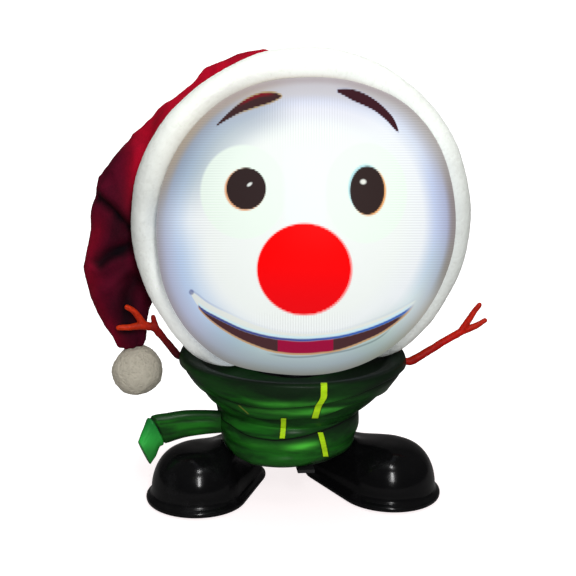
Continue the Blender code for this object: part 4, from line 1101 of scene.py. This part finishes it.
# ------------------------------------------------------------------ scarf body
BODY_OUT = [(87.0, 121.0), (88.8, 119.4), (88.8, 116.0), (87.2, 111.0), (82.6, 105.0), (77.6, 99.6),
            (75.2, 95.8), (69.6, 88.6), (63.8, 82.6), (60.0, 78.6), (58.0, 76.0), (59.2, 71.5), (59.2, 62.0),
            (56.2, 53.4), (56.2, 49.0), (53.5, 44.5), (48.0, 40.8)]
BODY_IN = [(46.2, 40.8), (46.2, 43.4), (51.0, 46.4), (53.4, 50.0), (53.6, 54.0),
           (56.5, 62.4), (56.4, 71.2), (55.2, 76.2), (58.2, 80.6), (67.2, 91.0)]
COLLAR_IN = [(72.6, 98.0), (75.0, 102.0), (79.2, 107.0), (77.6, 109.2), (70.0, 107.8), (58.0, 106.6), (34.0, 106.2),
             (34.0, 108.4), (46.0, 108.7), (58.0, 109.1), (66.0, 110.6), (71.0, 113.2), (75.0, 116.8), (79.0, 119.4), (82.6, 120.4), (85.2, 120.9)]


def waist(x, z):
    t = 1.0 - sstep(76.0, 98.0, z)
    return x * (1.0 - 0.045 * t) - 2.7 * t


def body_xyz(r, a, z):
    """Point of the scarf body by radius, angle (radians) and height."""
    return np.stack([waist(r * np.cos(a), z), r * ELL * np.sin(a), z + 0 * a], -1)


# crease lines round the body as (degrees, height); the front ones follow the
# photograph and the rest carries on round the back
CREASE_A = [(-180, 112.5), (-160.6, 113.5), (-147.6, 109.2), (-136.3, 102.6), (-124.7, 98.7), (-112.7, 98.7), (-101.4, 100.3), (-90.9, 102.8),
            (-80.7, 105.1), (-70.4, 108.1), (-59.6, 111.5), (-45.9, 114.2), (-20, 113.5), (10, 109), (45, 104), (80, 106), (110, 110), (140, 107), (165, 109), (180, 112.5)]
CREASE_B = [(-180, 98), (-160, 97.5), (-143, 95), (-134, 91.5), (-124.6, 87.3), (-114, 86.6), (-101, 87.4), (-91.8, 88.8), (-82.4, 89.2), (-74.4, 93.2),
            (-66.4, 97.4), (-59.3, 99.1), (-40, 98.5), (-10, 94.5), (30, 90.5), (70, 92), (110, 95.5), (150, 96.5), (180, 98)]
CREASE_C = [(-180, 72.5), (-165, 70.3), (-148, 70.3), (-128.7, 66.6), (-107.8, 66.6), (-88.6, 69.6), (-72.2, 72.7), (-45.4, 75.6), (-27, 74.9), (0, 79.5),
            (30, 81.0), (70, 80.5), (110, 80.8), (150, 79.5), (170, 75), (180, 72.5)]


def crease_height(rows, deg):
    a = np.array(rows, float)
    return np.interp(deg, a[:, 0], a[:, 1])


def smooth_periodic(f, deg, width=5.0):
    out = 0
    for k, w in zip(range(-3, 4), (0.06, 0.13, 0.2, 0.22, 0.2, 0.13, 0.06)):
        out = out + w * f((deg + k * width / 3 + 180) % 360 - 180)
    return out


def relief(deg, z, P):
    """How far the moulded cloth stands out from the body's plain form, in mm,
    and how deep in a crease the place is, 0 to 1, which sets the painted shade of the creases."""
    h = np.zeros(np.shape(z))
    dark = np.zeros(np.shape(z))
    for rows, hang, cut, reach in ((CREASE_A, 1.3, 1.0, 9.0), (CREASE_B, 1.8, 1.3, 11.0), (CREASE_C, 1.5, 1.15, 9.0)):
        zc = smooth_periodic(lambda t: crease_height(rows, t), deg)
        dz = z - zc
        # the layer above bulges and turns under at the crease; the one below starts recessed
        above = np.exp(-(np.maximum(dz - 1.2, 0) / reach) ** 1.3) * sstep(-0.6, 1.4, dz)
        below = np.exp(-(np.maximum(-dz, 0) / (reach * 0.55)) ** 1.5) * sstep(0.6, -0.6, dz)
        h = h + hang * above - cut * below
        # painted shade: darkest just under each crease, fading down the layer below and a little up the layer above
        dark = np.maximum(dark, np.exp(-((dz + 0.6) / 1.3) ** 2))
        dark = np.maximum(dark, 0.75 * np.exp(-(np.maximum(-dz - 0.6, 0) / 4.2) ** 1.4) * (dz < 0))
        dark = np.maximum(dark, 0.35 * np.exp(-(np.maximum(dz, 0) / 2.4) ** 1.4) * (dz >= 0))
    # soft folds running with the wrap
    q = np.stack([deg / 34.0, (z - 0.10 * deg) / 7.5, 0 * z], -1)
    fold = vnoise(q, 21) + 0.5 * vnoise(q * 2.1 + 5, 22)
    h = h + 0.38 * fold
    # painted shade in the hollows of these folds
    dark = np.clip(dark + 0.18 * np.clip(-fold, 0, 1), 0, 1)
    return np.maximum(h, -1.5), dark


def body_shell(name, a0, a1, nu, keep_door=False):
    """One half of the scarf body: a closed wall with layered folds on its outside."""
    out = np.asarray(BODY_OUT, float)
    inn = np.asarray(BODY_IN, float)
    O = spline(out, 260)
    I = np.vstack([spline(inn, 30), COLLAR_IN[:8], spline(COLLAR_IN[7:], 40)[1:]])
    no, ni = len(O), len(I)
    deg = np.linspace(a0, a1, nu)
    degw = (deg + 180) % 360 - 180
    a = np.radians(deg)
    z = np.broadcast_to(O[:, 1][:, None], (no, nu))
    r = np.broadcast_to(O[:, 0][:, None], (no, nu))
    A = np.broadcast_to(a[None], (no, nu))
    hem = np.interp(degw, [-180, -158, -143, -128, -115, -103, -86, -71, -61, -46, -20, 180], [0, 0, 3.0, 5.2, 3.6, 2.2, 0, -2.6, -2.6, -1.6, 0, 0])[None]
    r = r + hem * sstep(56.0, 42.5, z)
    P = body_xyz(r, A, z)
    # outward direction of the plain form
    tz = np.gradient(O[:, 1])
    tr = np.gradient(O[:, 0])
    l = np.hypot(tz, tr)
    nr, nz = -tz / l, tr / l
    N = np.stack([np.cos(A) * nr[:, None], np.sin(A) * nr[:, None], np.broadcast_to(nz[:, None], A.shape)], -1)
    h, dark = relief(np.broadcast_to(degw[None], A.shape), z, P)
    # the rim and the foot keep their form, and so does the joint between the halves
    front = np.exp(-((degw + 86.0) / 22.0) ** 2)[None]
    low = sstep(44.5, 55.0, O[:, 1])[:, None]
    keep = sstep(0.0, 6.0, np.abs(O[:, 1] - 121.0))[:, None] * (low + (1 - low) * front * sstep(40.8, 43.5, O[:, 1])[:, None])
    root = np.exp(-(((degw + 171.0) % 360 - 0.0 + 180) % 360 - 180) ** 2 / 9.0 ** 2)[None] * (sstep(50, 56, z) * sstep(80, 75, z))
    h = h * keep * (1 - root) + (-0.2) * root
    P = P + N * h[..., None]
    Q = body_xyz(np.broadcast_to(I[:, 0][:, None], (ni, nu)), np.broadcast_to(a[None], (ni, nu)), np.broadcast_to(I[:, 1][:, None], (ni, nu)))
    ring = np.concatenate([P, Q], 0).transpose(1, 0, 2)     # nu rings of no+ni points
    V = ring.reshape(-1, 3)
    n = no + ni
    F = [tuple(f) for f in grid_faces(nu, n, False, True)]
    # flat ends where the halves meet, quads between the outer and inner wall
    ends = []
    for j, flip in ((0, False), (nu - 1, True)):
        base = j * n
        io = np.round(np.linspace(no - 1, 0, ni)).astype(int)
        for k in range(ni - 1):
            i0, i1 = no + k, no + k + 1
            o0, o1 = io[k], io[k + 1]
            poly = [base + i0, base + i1] + [base + q for q in range(o1, o0 + 1)]
            ends.append(tuple(reversed(poly)) if flip else tuple(poly))
        last = [base + no + ni - 1] + [base + q for q in range(0, io[-1] + 1)]
        if len(last) >= 3:
            ends.append(tuple(reversed(last)) if flip else tuple(last))
    ob = make(name, V, F + ends, SCARF, smooth=True)
    # painted light: soft lit patches where the folds are fullest
    spots = 0
    for cd, cz, wd, wz, k in ((-86, 61.5, 13, 3.2, 0.8), (-94, 105.5, 24, 2.6, 0.35), (-104, 95.5, 20, 2.4, 0.30), (-80, 96.5, 16, 2.6, 0.40), (-120, 60.0, 14, 2.2, 0.15), (-100, 76.5, 18, 1.6, 0.15)):
        spots = spots + k * np.exp(-((degw[None] - cd) / wd) ** 2 - ((z - cz - 0.05 * (degw[None] - cd)) / wz) ** 2)
    spots = np.clip(spots * (0.8 + 0.3 * vnoise(P / np.array([9.0, 9.0, 2.4]), 77)), 0, 1)
    sg = np.concatenate([spots, np.zeros((ni, nu))], 0).transpose(1, 0).reshape(-1)
    add_value(ob, "glow", sg)
    # painted shade: the inside of the collar and the top of its rim are darkened
    inside = sstep(98.0, 112.0, I[:, 1])[:, None] * 0.55 + np.zeros((ni, nu))
    lip = np.exp(-(np.maximum(121.5 - O[:, 1], 0) / 1.6) ** 1.5)[:, None] * 0.8 + np.zeros((no, nu))
    dk = np.concatenate([np.maximum(dark * keep, lip), inside], 0).transpose(1, 0).reshape(-1)
    add_value(ob, "crease", dk)
    return ob


def tool_mesh(name, bm):
    for v in bm.verts:
        v.co = Vector(world(np.array(v.co[:])).tolist())
    me = bpy.data.meshes.new(name)
    bmesh.ops.recalc_face_normals(bm, faces=bm.faces)
    bm.to_mesh(me)
    bm.free()
    ob = bpy.data.objects.new(name, me)
    bpy.context.scene.collection.objects.link(ob)
    return ob


def box(lo, hi):
    bm = bmesh.new()
    bmesh.ops.create_cube(bm, size=1.0)
    for v in bm.verts:
        v.co = Vector([(a + b) / 2 + c * (b - a) for a, b, c in zip(lo, hi, v.co)])
    return bm


def rod(p0, p1, r, segs=48, hole=None):
    """Cylinder between two points, or a tube when a hole radius is given."""
    p0, p1 = Vector(p0), Vector(p1)
    m = Matrix.Translation(p0) @ (p1 - p0).to_track_quat("Z", "Y").to_matrix().to_4x4()
    L = (p1 - p0).length
    prof = [(r, 0), (r, L)] + ([(hole, L), (hole, 0)] if hole else [])
    bm = bmesh.new()
    rows = [[bm.verts.new(m @ Vector((q * math.cos(2 * math.pi * i / segs), q * math.sin(2 * math.pi * i / segs), z))) for i in range(segs)] for q, z in prof]
    pairs = list(zip(rows, rows[1:])) + ([(rows[-1], rows[0])] if hole else [])
    for a, b in pairs:
        for i in range(segs):
            k = (i + 1) % segs
            bm.faces.new((a[i], a[k], b[k], b[i]))
    if not hole:
        bm.faces.new(list(reversed(rows[0])))
        bm.faces.new(rows[-1])
    return bm


def cut(ob, tools):
    """Boolean steps in order, then drop the tools."""
    made = []
    for op, bm in tools:
        t = tool_mesh("tool", bm)
        made.append(t)
        m = ob.modifiers.new("b", "BOOLEAN")
        m.operation = op
        m.solver = "MANIFOLD"
        m.object = t
    bpy.context.view_layer.update()
    evaluated(ob)
    for t in made:
        me = t.data
        bpy.data.objects.remove(t, do_unlink=True)
        bpy.data.meshes.remove(me)
    ob.data.set_sharp_from_angle(angle=math.radians(50))
    return ob


ARM_L0, ARM_R0 = (-87.0, 8.8, 114.6), (87.0, -10.1, 112.6)
HY, HZ = 61.2, 47.2


def scarf():
    front = body_shell("scarf_front", 180.2, 359.8, 460)
    cut(front, [("UNION", rod((77.6, ARM_R0[1], ARM_R0[2]), (84.0, ARM_R0[1], ARM_R0[2]), 5.2)),
                ("DIFFERENCE", rod((74, ARM_R0[1], ARM_R0[2]), (100, ARM_R0[1], ARM_R0[2]), 3.15))])
    add_front_map(front)
    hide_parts("scarf_front_shell")

    rear = body_shell("scarf_rear", 0.2, 179.8, 400)
    pa = math.radians(142.0)
    pn = np.array([math.cos(pa), math.sin(pa), 0])
    pz = np.array([0, 0, 64.0])
    steps = [("UNION", rod((-77.6, ARM_L0[1], ARM_L0[2]), (-84.8, ARM_L0[1], ARM_L0[2]), 5.2)),
             ("DIFFERENCE", rod((-74, ARM_L0[1], ARM_L0[2]), (-100, ARM_L0[1], ARM_L0[2]), 3.15)),
             ("DIFFERENCE", box((-31, 30, 47.6), (31, 75, 77.6))),
             ("UNION", rod((-6, HY, HZ), (6, HY, HZ), 2.3)),
             ("UNION", box((-6, 51.8, 44.6), (6, HY - 0.6, 46.6))),
             ("DIFFERENCE", rod((-40, HY, HZ), (40, HY, HZ), 1.0)),
             ("DIFFERENCE", box((-13.6, 57.4, 43.0), (-6.25, 66, 53.0))),
             ("DIFFERENCE", box((6.25, 57.4, 43.0), (13.6, 66, 53.0))),
             ("DIFFERENCE", rod(pn * 48 + pz, pn * 70 + pz, 6.4, 64)),
             ("DIFFERENCE", rod((37.4, 20, 63), (37.4, 60, 63), 4.5, 64)),
             ("DIFFERENCE", box((42.0, 1.0, 63.9), (61.0, 20.9, 68.1)))]
    cut(rear, steps)
    add_front_map(rear)
    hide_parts("scarf_rear_shell")

    # the door continues the same folds, so it is cut from the same surface
    global BODY_IN
    keep = BODY_IN
    BODY_IN = [(50.9, 40.8), (50.9, 46.4), (53.2, 50.4), (53.2, 53.4), (55.0, 57.0), (56.3, 62.4), (56.2, 71.2), (56.6, 76.0), (57.6, 79.6), (67.2, 91.0)]
    door = body_shell("battery_door_skin", 40, 140, 300)
    BODY_IN = keep
    steps = [("INTERSECT", box((-30.7, 30, 47.9), (30.7, 75, 77.3)))]
    for x0, x1 in ((-13.0, -6.4), (6.4, 13.0)):
        steps += [("UNION", rod((x0, HY, HZ), (x1, HY, HZ), 2.3)), ("UNION", box((x0, 51.0, 48.5), (x1, HY + 0.2, 50.6))),
                  ("UNION", box((x0, HY - 1.0, 48.3), (x1, HY + 1.2, 50.6)))]
    steps += [("DIFFERENCE", rod((-40, HY, HZ), (40, HY, HZ), 1.0)), ("DIFFERENCE", rod((0, 40, 72.0), (0, 70, 72.0), 1.45))]
    cut(door, steps)
    add_front_map(door)
    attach(door, "battery_door")
    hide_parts("battery_door")


scarf()

# ------------------------------------------------------------------ scarf tail
STRAP = [((-59.3, -9, 65.2), 9.0, 4.8, (-1, 0, 0.02), (0, 0, 1)), ((-72, -10, 65.6), 9.8, 5.0, (-1, -0.05, 0), (0, 0, 1)),
         ((-86, -11, 64.8), 10.9, 5.0, (-1, -0.06, -0.08), (0, 0, 1)), ((-99, -12, 62.6), 11.9, 4.8, (-1, -0.1, -0.2), (-0.08, 0, 1)),
         ((-109.4, -13.2, 60.2), 12.6, 4.4, (-0.8, -0.45, -0.6), (-0.27, 0, 0.96)),
         ((-114.4, -16.8, 51.8), 12.0, 4.0, (-0.46, -0.4, -0.84), (-0.38, 0.05, 0.92)),
         ((-118.2, -20.0, 45.2), 10.2, 3.6, (-0.46, -0.4, -0.84), (-0.44, 0.1, 0.9))]


def scarf_tail():
    rows = np.array([list(c) + [hh, tt] + list(d) + list(u) for c, hh, tt, d, u in STRAP], float)
    R = spline(rows, 220)
    n = 150
    t = np.linspace(0, 2 * math.pi, n, endpoint=False)
    ct, st = np.cos(t), np.sin(t)
    sq = lambda v, e: np.sign(v) * np.abs(v) ** e
    C = R[:, :3]
    up = unit(R[:, 8:11])
    th = unit(np.cross(unit(R[:, 5:8]), up))
    P = C[:, None] + up[:, None] * (R[:, 3][:, None] * sq(ct, 0.6)[None])[..., None] + th[:, None] * (R[:, 4][:, None] * sq(st, 0.72)[None])[..., None]
    N = unit(up[:, None] * (ct[None] / R[:, 3][:, None])[..., None] + th[:, None] * (st[None] / R[:, 4][:, None])[..., None])
    s = np.linspace(0, 1, len(R))[:, None] + 0 * t[None]
    across = sq(ct, 0.6)[None] + 0 * s
    # folds running along the strap, deeper towards the fold at its end
    f1 = np.exp(-((across - 0.30 - 0.25 * s) / 0.10) ** 2)
    f2 = np.exp(-((across + 0.38 - 0.12 * s) / 0.12) ** 2)
    bulge = 0.5 * np.cos(across * 5.5 + 3 * s) + 0.5 * vnoise(np.stack([s * 5, across * 1.6, 0 * s], -1), 5)
    body = sstep(0.02, 0.12, s) * sstep(1.0, 0.93, s)
    # the end turns over along a slanting crease
    cr = s - 0.70 - 0.035 * across
    fold = np.exp(-(cr / 0.012) ** 2)
    lip = np.exp(-((cr - 0.035) / 0.03) ** 2)
    h = body * (-0.22 * f1 - 0.2 * f2 + 0.35 * bulge - 1.2 * fold + 0.7 * lip)
    P = P + N * h[..., None]
    # its root lies close against the body all round
    rr = np.interp(P[..., 2], [53.4, 59.2, 62.0, 71.5, 76.0], [56.2, 58.6, 59.2, 59.2, 58.0])
    y = P[..., 1] / (rr * ELL)
    face = waist(-rr * np.sqrt(np.maximum(1 - y * y, 0)), P[..., 2]) - 0.25
    near = sstep(0.16, 0.0, s)
    P[..., 0] = np.where(s < 0.16, P[..., 0] * (1 - near) + np.minimum(face + (P[..., 0] - P[:1, :, 0]), face) * near, P[..., 0])
    V, F = loop_grid(P)
    ob = make("scarf_tail_strap", V, F, SCARF)
    # painted shade: darker in the folds, along the lower edge and at the root
    low = np.exp(-((across + 0.95) / 0.35) ** 2) * (s < 0.68)
    k = np.concatenate([(body * (0.5 * f1 * (s < 0.68) + 0.4 * f2 * (s < 0.68) + 0.8 * fold * (across > -0.2) + 0.45 * low) + 0.5 * near).ravel(), [0.5, 0]])
    # painted light: the turned-over end is lighter
    tip = np.concatenate([(sstep(0.0, 0.02, cr) * (0.75 + 0.25 * across)).ravel(), [0, 0.8]])
    add_value(ob, "crease", np.clip(k, 0, 1))
    add_value(ob, "tip", np.clip(tip, 0, 1))
    add_front_map(ob)
    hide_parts("scarf_tail")


scarf_tail()

# ------------------------------------------------------------------ boots
BOOT_TOES = {-1: (np.array([76.5, -9.0]), 0.988), 1: (np.array([80.0, -11.0]), 1.024)}
BOOT_HEEL = np.array([42.0, 30.0])
BOOT_INNER = [(36.6, 20.6, 13.2, 0.42), (33.2, 26.2, 16.4, 0.05), (25.4, 31.2, 17.4, 0), (16.0, 33.0, 18.0, 0),
              (8.8, 34.0, 19.4, 0), (4.2, 36.6, 21.0, 0), (1.4, 36.6, 21.0, 0)]


def two_circles(side, r1, heel, r2, n):
    """Outline round two circles, evenly sampled from the toe end."""
    BOOT_TOE, k = BOOT_TOES[side]
    r1 = r1 * k
    ax = BOOT_TOE - heel
    L = np.hypot(*ax)
    base = math.atan2(ax[1], ax[0])
    al = math.acos(np.clip((r2 - r1) / L, -1, 1))
    a1 = np.linspace(0, al, 120)
    a2 = np.linspace(al, math.pi, 120)
    half = [BOOT_TOE + r1 * np.array([math.cos(base + a), math.sin(base + a)]) for a in a1] + \
           [heel + r2 * np.array([math.cos(base + a), math.sin(base + a)]) for a in a2]
    a3 = np.linspace(math.pi, 2 * math.pi - al, 120)
    a4 = np.linspace(2 * math.pi - al, 2 * math.pi, 120)
    half += [heel + r2 * np.array([math.cos(base + a), math.sin(base + a)]) for a in a3] + \
            [BOOT_TOE + r1 * np.array([math.cos(base + a), math.sin(base + a)]) for a in a4]
    q = np.array(half)
    d = np.r_[0, np.cumsum(np.hypot(*np.diff(q, axis=0).T))]
    s = np.linspace(0, d[-1], n, endpoint=False)
    x, y = np.interp(s, d, q[:, 0]), np.interp(s, d, q[:, 1])
    return np.stack([side * x, y], -1)


def body_floor(x, y):
    """Height of the scarf body's underside over a point, or a large number outside it."""
    r = np.hypot((x + 2.7) / 0.955, y / ELL)
    z = np.interp(r, [0, 47.0, 48.0, 53.5, 56.2, 56.8, 57.6, 58.6], [39.6, 39.8, 40.4, 44.1, 48.6, 52.0, 57.0, 90.0])
    return z, r


def boots():
    for side, nm in ((-1, "left"), (1, "right")):
        BOOT_TOE = BOOT_TOES[side][0]
        n = 320
        flange = spline([(1.4, 39.6, 23.6), (1.9, 40.6, 24.6), (3.4, 41.0, 25.0), (5.0, 40.7, 24.7), (6.2, 39.4, 23.6), (7.2, 37.9, 22.8), (8.8, 36.8, 22.0)], 44)
        rings = [np.concatenate([two_circles(side, r1, BOOT_HEEL, r2, n), np.full((n, 1), z)], 1) for z, r1, r2 in flange]
        # the upper: a ball of a toe that runs back to the heel and lifts a little against the body
        edge = rings[-1][:, :2] * np.array([side, 1.0])
        ax = BOOT_HEEL - BOOT_TOE
        t = np.clip(((edge - BOOT_TOE) @ ax) / (ax @ ax), 0, 1)
        foot = BOOT_TOE + t[:, None] * ax
        for rho in np.linspace(1, 0.012, 120)[1:] ** 0.8:
            q = foot + (edge - foot) * rho
            tt = np.clip(((q - BOOT_TOE) @ ax) / (ax @ ax), 0, 1)
            H = 45.2 - 5.5 * sstep(0.10, 0.80, tt)
            z = 8.8 + (H - 8.8) * np.sqrt(np.maximum(1 - rho ** 2.9, 0))
            zf, rb = body_floor(side * q[:, 0], q[:, 1])
            z = z + 4.2 * np.exp(-(np.maximum(rb - 57.0, 0) / 5.5) ** 1.6) * sstep(25, 42, z) * sstep(26, -4, q[:, 1])
            z = z + 0.25 * vnoise(np.concatenate([q / 24.0, z[:, None] / 24.0], 1), 15)
            # a soft minimum against the body's underside
            z = np.where(zf < 80, -np.log(np.exp(-(z - 30) * 1.6) + np.exp(-(zf - 0.8 - 30) * 1.6)) / 1.6 + 30, z)
            rings.append(np.concatenate([q * np.array([side, 1.0]), z[:, None]], 1))
        inner = []
        for z, r1, r2, s in BOOT_INNER:
            heel = BOOT_HEEL + (BOOT_TOE - BOOT_HEEL) * s
            q = two_circles(side, r1, heel, r2, n)
            inner.append(np.concatenate([q, np.full((n, 1), z)], 1))
        R = np.array(inner + rings)
        V, F = loop_grid(R)
        a, last = len(R) * n, (len(R) - 1) * n
        F = [f for f in F if (a + 1) not in f]
        F += [(last + j, last + j + 1, last + (n - j - 1) % n, last + (n - j) % n) for j in range(1, n // 2 - 1)]
        F += [(last, last + 1, last + n - 1), (last + n // 2 - 1, last + n // 2, last + n // 2 + 1)]
        V = V[:-1]
        ob = make(nm + "_boot_shell", V, F, BOOT)
        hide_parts(nm + "_boot")


boots()

# ------------------------------------------------------------------ twig arms


def tube(pts, radii, seg=18, cap=5):
    """Closed round limb along points with its own radius at each."""
    R = spline([list(p) + [r] for p, r in zip(pts, radii)], max(16, 10 * len(pts)))
    C, rad = R[:, :3], R[:, 3]
    d = unit(np.gradient(C, axis=0))
    u = unit(np.cross(d[0], np.array([0.1, 1.0, 0.2])))
    rings, dirs = [], []
    t = np.linspace(0, 2 * math.pi, seg, endpoint=False)
    # round ends
    def ring(c, r, dd, uu):
        w = np.cross(dd, uu)
        return c + r * (np.cos(t)[:, None] * uu + np.sin(t)[:, None] * w)
    for k in range(cap, 0, -1):
        a = math.pi / 2 * k / (cap + 0.5)
        rings.append(ring(C[0] - d[0] * rad[0] * math.sin(a), rad[0] * math.cos(a), d[0], u))
    for i in range(len(C)):
        u = unit(u - d[i] * (u @ d[i]))
        rings.append(ring(C[i], rad[i], d[i], u))
    for k in range(1, cap + 1):
        a = math.pi / 2 * k / (cap + 0.5)
        rings.append(ring(C[-1] + d[-1] * rad[-1] * math.sin(a), rad[-1] * math.cos(a), d[-1], u))
    return loop_grid(np.array(rings))


def arm(name, node, body, tubes, peg_x):
    V, F, o = [], [], 0
    for v, f in tubes:
        V.append(v)
        F += [tuple(np.array(k) + o) for k in f]
        o += len(v)
    ob = make(name, np.vstack(V), F, TWIG, body=None)
    m = ob.modifiers.new("skin", "REMESH")
    m.mode = "VOXEL"
    m.voxel_size = 0.00062
    s = ob.modifiers.new("soft", "SMOOTH")
    s.factor = 0.5
    s.iterations = 7
    evaluated(ob)
    P = points(ob)
    N = normals_of(ob)
    out = sstep(peg_x, peg_x + 4, np.abs(P[:, 0]))
    bark = fbm(P * np.array([1.0, 1.0, 1.0]), 5.0, 3, 7)
    groove = 1 - np.abs(vnoise(P * np.array([0.35, 1.0, 0.35]) / 2.2, 13)) * 1.6
    P = P + N * (out * (0.18 * bark + 0.14 * groove + 0.12))[:, None]
    set_points(ob, P)
    ob.data.materials.clear()
    ob.data.materials.append(TWIG)
    ob.data.shade_smooth()
    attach(ob, body)
    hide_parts(node)


arm("left_twig", "left_arm", "left_arm", [
    tube([(-78.8, 8.8, 114.6), (-84.0, 8.8, 114.6), (-89.6, 8.75, 114.8), (-92.6, 8.2, 117.4), (-99.0, 6.4, 126.2), (-107.0, 4.2, 137.2)], [2.85, 2.85, 2.9, 2.9, 2.75, 2.8]),
    tube([(-103.6, 5.2, 132.6), (-107.6, 4.0, 138.2), (-112.0, 2.9, 141.0), (-117.2, 2.0, 142.2)], [2.7, 2.9, 2.9, 3.2]),
    tube([(-113.8, 2.5, 140.6), (-117.6, 2.0, 143.2), (-121.6, 1.2, 149.6), (-126.2, 0.6, 155.2), (-130.4, 0.0, 157.6)], [2.7, 3.0, 2.5, 2.2, 1.9]),
    tube([(-114.4, 2.4, 142.4), (-120.4, 1.5, 142.2), (-128.0, 0.8, 141.4), (-137.2, 0.0, 141.3)], [2.6, 2.9, 2.4, 1.8]),
    tube([(-106.2, 4.4, 134.8), (-108.4, 3.6, 141.4), (-110.2, 3.0, 148.6)], [2.5, 2.3, 1.8])], 88.0)
arm("right_twig", "right_arm", "right_arm", [
    tube([(78.8, -10.1, 112.6), (84.0, -10.1, 112.6), (90.4, -10.1, 112.5), (95.0, -10.4, 113.2), (107.0, -10.8, 120.6), (120.0, -11.4, 129.0), (132.6, -12.0, 136.6)], [2.85, 2.85, 3.0, 3.3, 3.05, 2.8, 2.9]),
    tube([(129.8, -11.9, 134.0), (133.6, -12.0, 138.0), (138.6, -12.2, 146.4), (143.4, -12.5, 154.4), (147.0, -12.6, 159.2)], [2.6, 2.8, 2.4, 2.2, 1.85]),
    tube([(130.6, -12.0, 136.0), (137.6, -11.9, 138.6), (146.0, -11.6, 142.0), (152.6, -11.4, 145.9)], [2.6, 2.7, 2.3, 1.85])], 90.0)

# ------------------------------------------------------------------ finish of the CAD nodes that stay in view
for name, node in frame["nodes"].items():
    if node.hide_render or not node.data.materials:
        continue
    for i, mm in enumerate(node.data.materials):
        key = mm.name.split(".")[0] if mm else ""
        if key in SLOT_LOOK:
            node.data.materials[i] = SLOT_LOOK[key]

# ------------------------------------------------------------------ floor, light and camera


def floor_material():
    m, nt, b = new_material("paper_sweep")
    lp = nt.nodes.new("ShaderNodeLightPath")
    seen = S(nt, lp.outputs["Is Camera Ray"])
    lit = S(nt, lp.outputs["Is Diffuse Ray"])
    nt.links.new(mixc(nt, seen, (0.30, 0.29, 0.29, 1), (0.42, 0.41, 0.41, 1)), b.inputs["Base Color"])
    b.inputs["Roughness"].default_value = 0.9
    b.inputs["Specular IOR Level"].default_value = 0.0
    # painted shadow: the paper is a little darker and pinker close round the feet, and pure white beyond
    o = obj_coords(nt)
    sep = nt.nodes.new("ShaderNodeSeparateXYZ")
    nt.links.new(o, sep.inputs[0])
    far = (S(nt, sep.outputs[0]).sq() + S(nt, sep.outputs[1]).sq()).sqrt().step(0.13, 0.26)
    nt.links.new(mixc(nt, far, (1, 0.93, 0.933, 1), (1, 1, 1, 1)), b.inputs["Emission Color"])
    nt.links.new((seen * (far * 0.4 + 0.84) + lit * 0.13).s, b.inputs["Emission Strength"])
    return m


def sweep():
    """Pale floor that curves up behind the figure."""
    n = 40
    prof = [(-2.0, 0.0), (1.2, 0.0)] + [(1.2 + 0.8 * math.sin(a), 0.8 - 0.8 * math.cos(a)) for a in np.linspace(0, math.pi / 2, n)[1:]] + [(2.0, 3.0)]
    V, F = [], []
    for x in (-3.0, 3.0):
        V += [(x, y, z) for y, z in prof]
    k = len(prof)
    F = [(i, i + 1, k + i + 1, k + i) for i in range(k - 1)]
    me = bpy.data.meshes.new("sweep")
    me.from_pydata(V, [], F)
    me.shade_smooth()
    me.materials.append(floor_material())
    ob = bpy.data.objects.new("sweep", me)
    bpy.context.scene.collection.objects.link(ob)
    # upright part turns to face the camera's side
    ob.rotation_euler[2] = -PSI
    return ob


sweep()

scene = bpy.context.scene
wd = bpy.data.worlds.new("soft")
scene.world = wd
wd.use_nodes = True
wn = wd.node_tree
wn.nodes["Background"].inputs["Color"].default_value = (1.0, 0.995, 0.985, 1)
wlp = wn.nodes.new("ShaderNodeLightPath")
gl = S(wn, wlp.outputs["Is Glossy Ray"])
wtc = wn.nodes.new("ShaderNodeTexCoord")
wsp = wn.nodes.new("ShaderNodeSeparateXYZ")
wn.links.new(wtc.outputs["Generated"], wsp.inputs[0])
high = S(wn, wsp.outputs[2]).step(0.0, 0.9)
direct = S(wn, wlp.outputs["Is Camera Ray"])
wn.links.new(((high * 0.22 + 0.145) * (1.0 - gl * 0.7) * (1.0 - direct) + direct * 1.1).s, wn.nodes["Background"].inputs["Strength"])


def softbox(name, where, at, size, watts, color=(1, 1, 1)):
    L = bpy.data.lights.new(name, "AREA")
    L.shape = "RECTANGLE"
    L.size, L.size_y = size
    L.energy = watts
    L.color = color
    ob = bpy.data.objects.new(name, L)
    ob.location = where
    ob.rotation_euler = (Vector(at) - Vector(where)).to_track_quat("-Z", "Y").to_euler()
    scene.collection.objects.link(ob)
    return ob


softbox("key", (0.0, -1.25, 0.68), (0, 0, 0.16), (0.12, 0.56), 10.0)
softbox("high", (0.02, -1.0, 1.5), (0, 0, 0.2), (0.10, 0.24), 5.0).visible_diffuse = False
softbox("top", (-0.05, -0.35, 1.5), (0, 0, 0.1), (1.4, 1.4), 8.5).visible_glossy = False

cam = bpy.data.cameras.new("photo_camera")
co = bpy.data.objects.new("photo_camera", cam)
scene.collection.objects.link(co)
r = Vector((math.cos(PSI), -math.sin(PSI), 0))
fwd = Vector((math.sin(PSI) * math.cos(PITCH), math.cos(PSI) * math.cos(PITCH), -math.sin(PITCH)))
up = Vector((math.sin(PSI) * math.sin(PITCH), math.cos(PSI) * math.sin(PITCH), math.cos(PITCH)))
c, s = math.cos(ROLL), math.sin(ROLL)
right2, up2 = r * c + up * s, up * c - r * s
mat = Matrix((right2, up2, -fwd)).transposed().to_4x4()
mat.translation = Vector(world([-CAM_D * math.sin(PSI), -CAM_D * math.cos(PSI), CAM_H]).tolist())
co.matrix_world = mat
cam.sensor_width = 36.0
cam.lens = 36.0 * FOCAL / 576.0
cam.shift_x = -(PX0 - 288.0) / 576.0
cam.shift_y = 0.0
cam.clip_start = 0.05
cam.clip_end = 50
scene.camera = co
scene.view_settings.view_transform = "Standard"
scene.view_settings.look = "None"
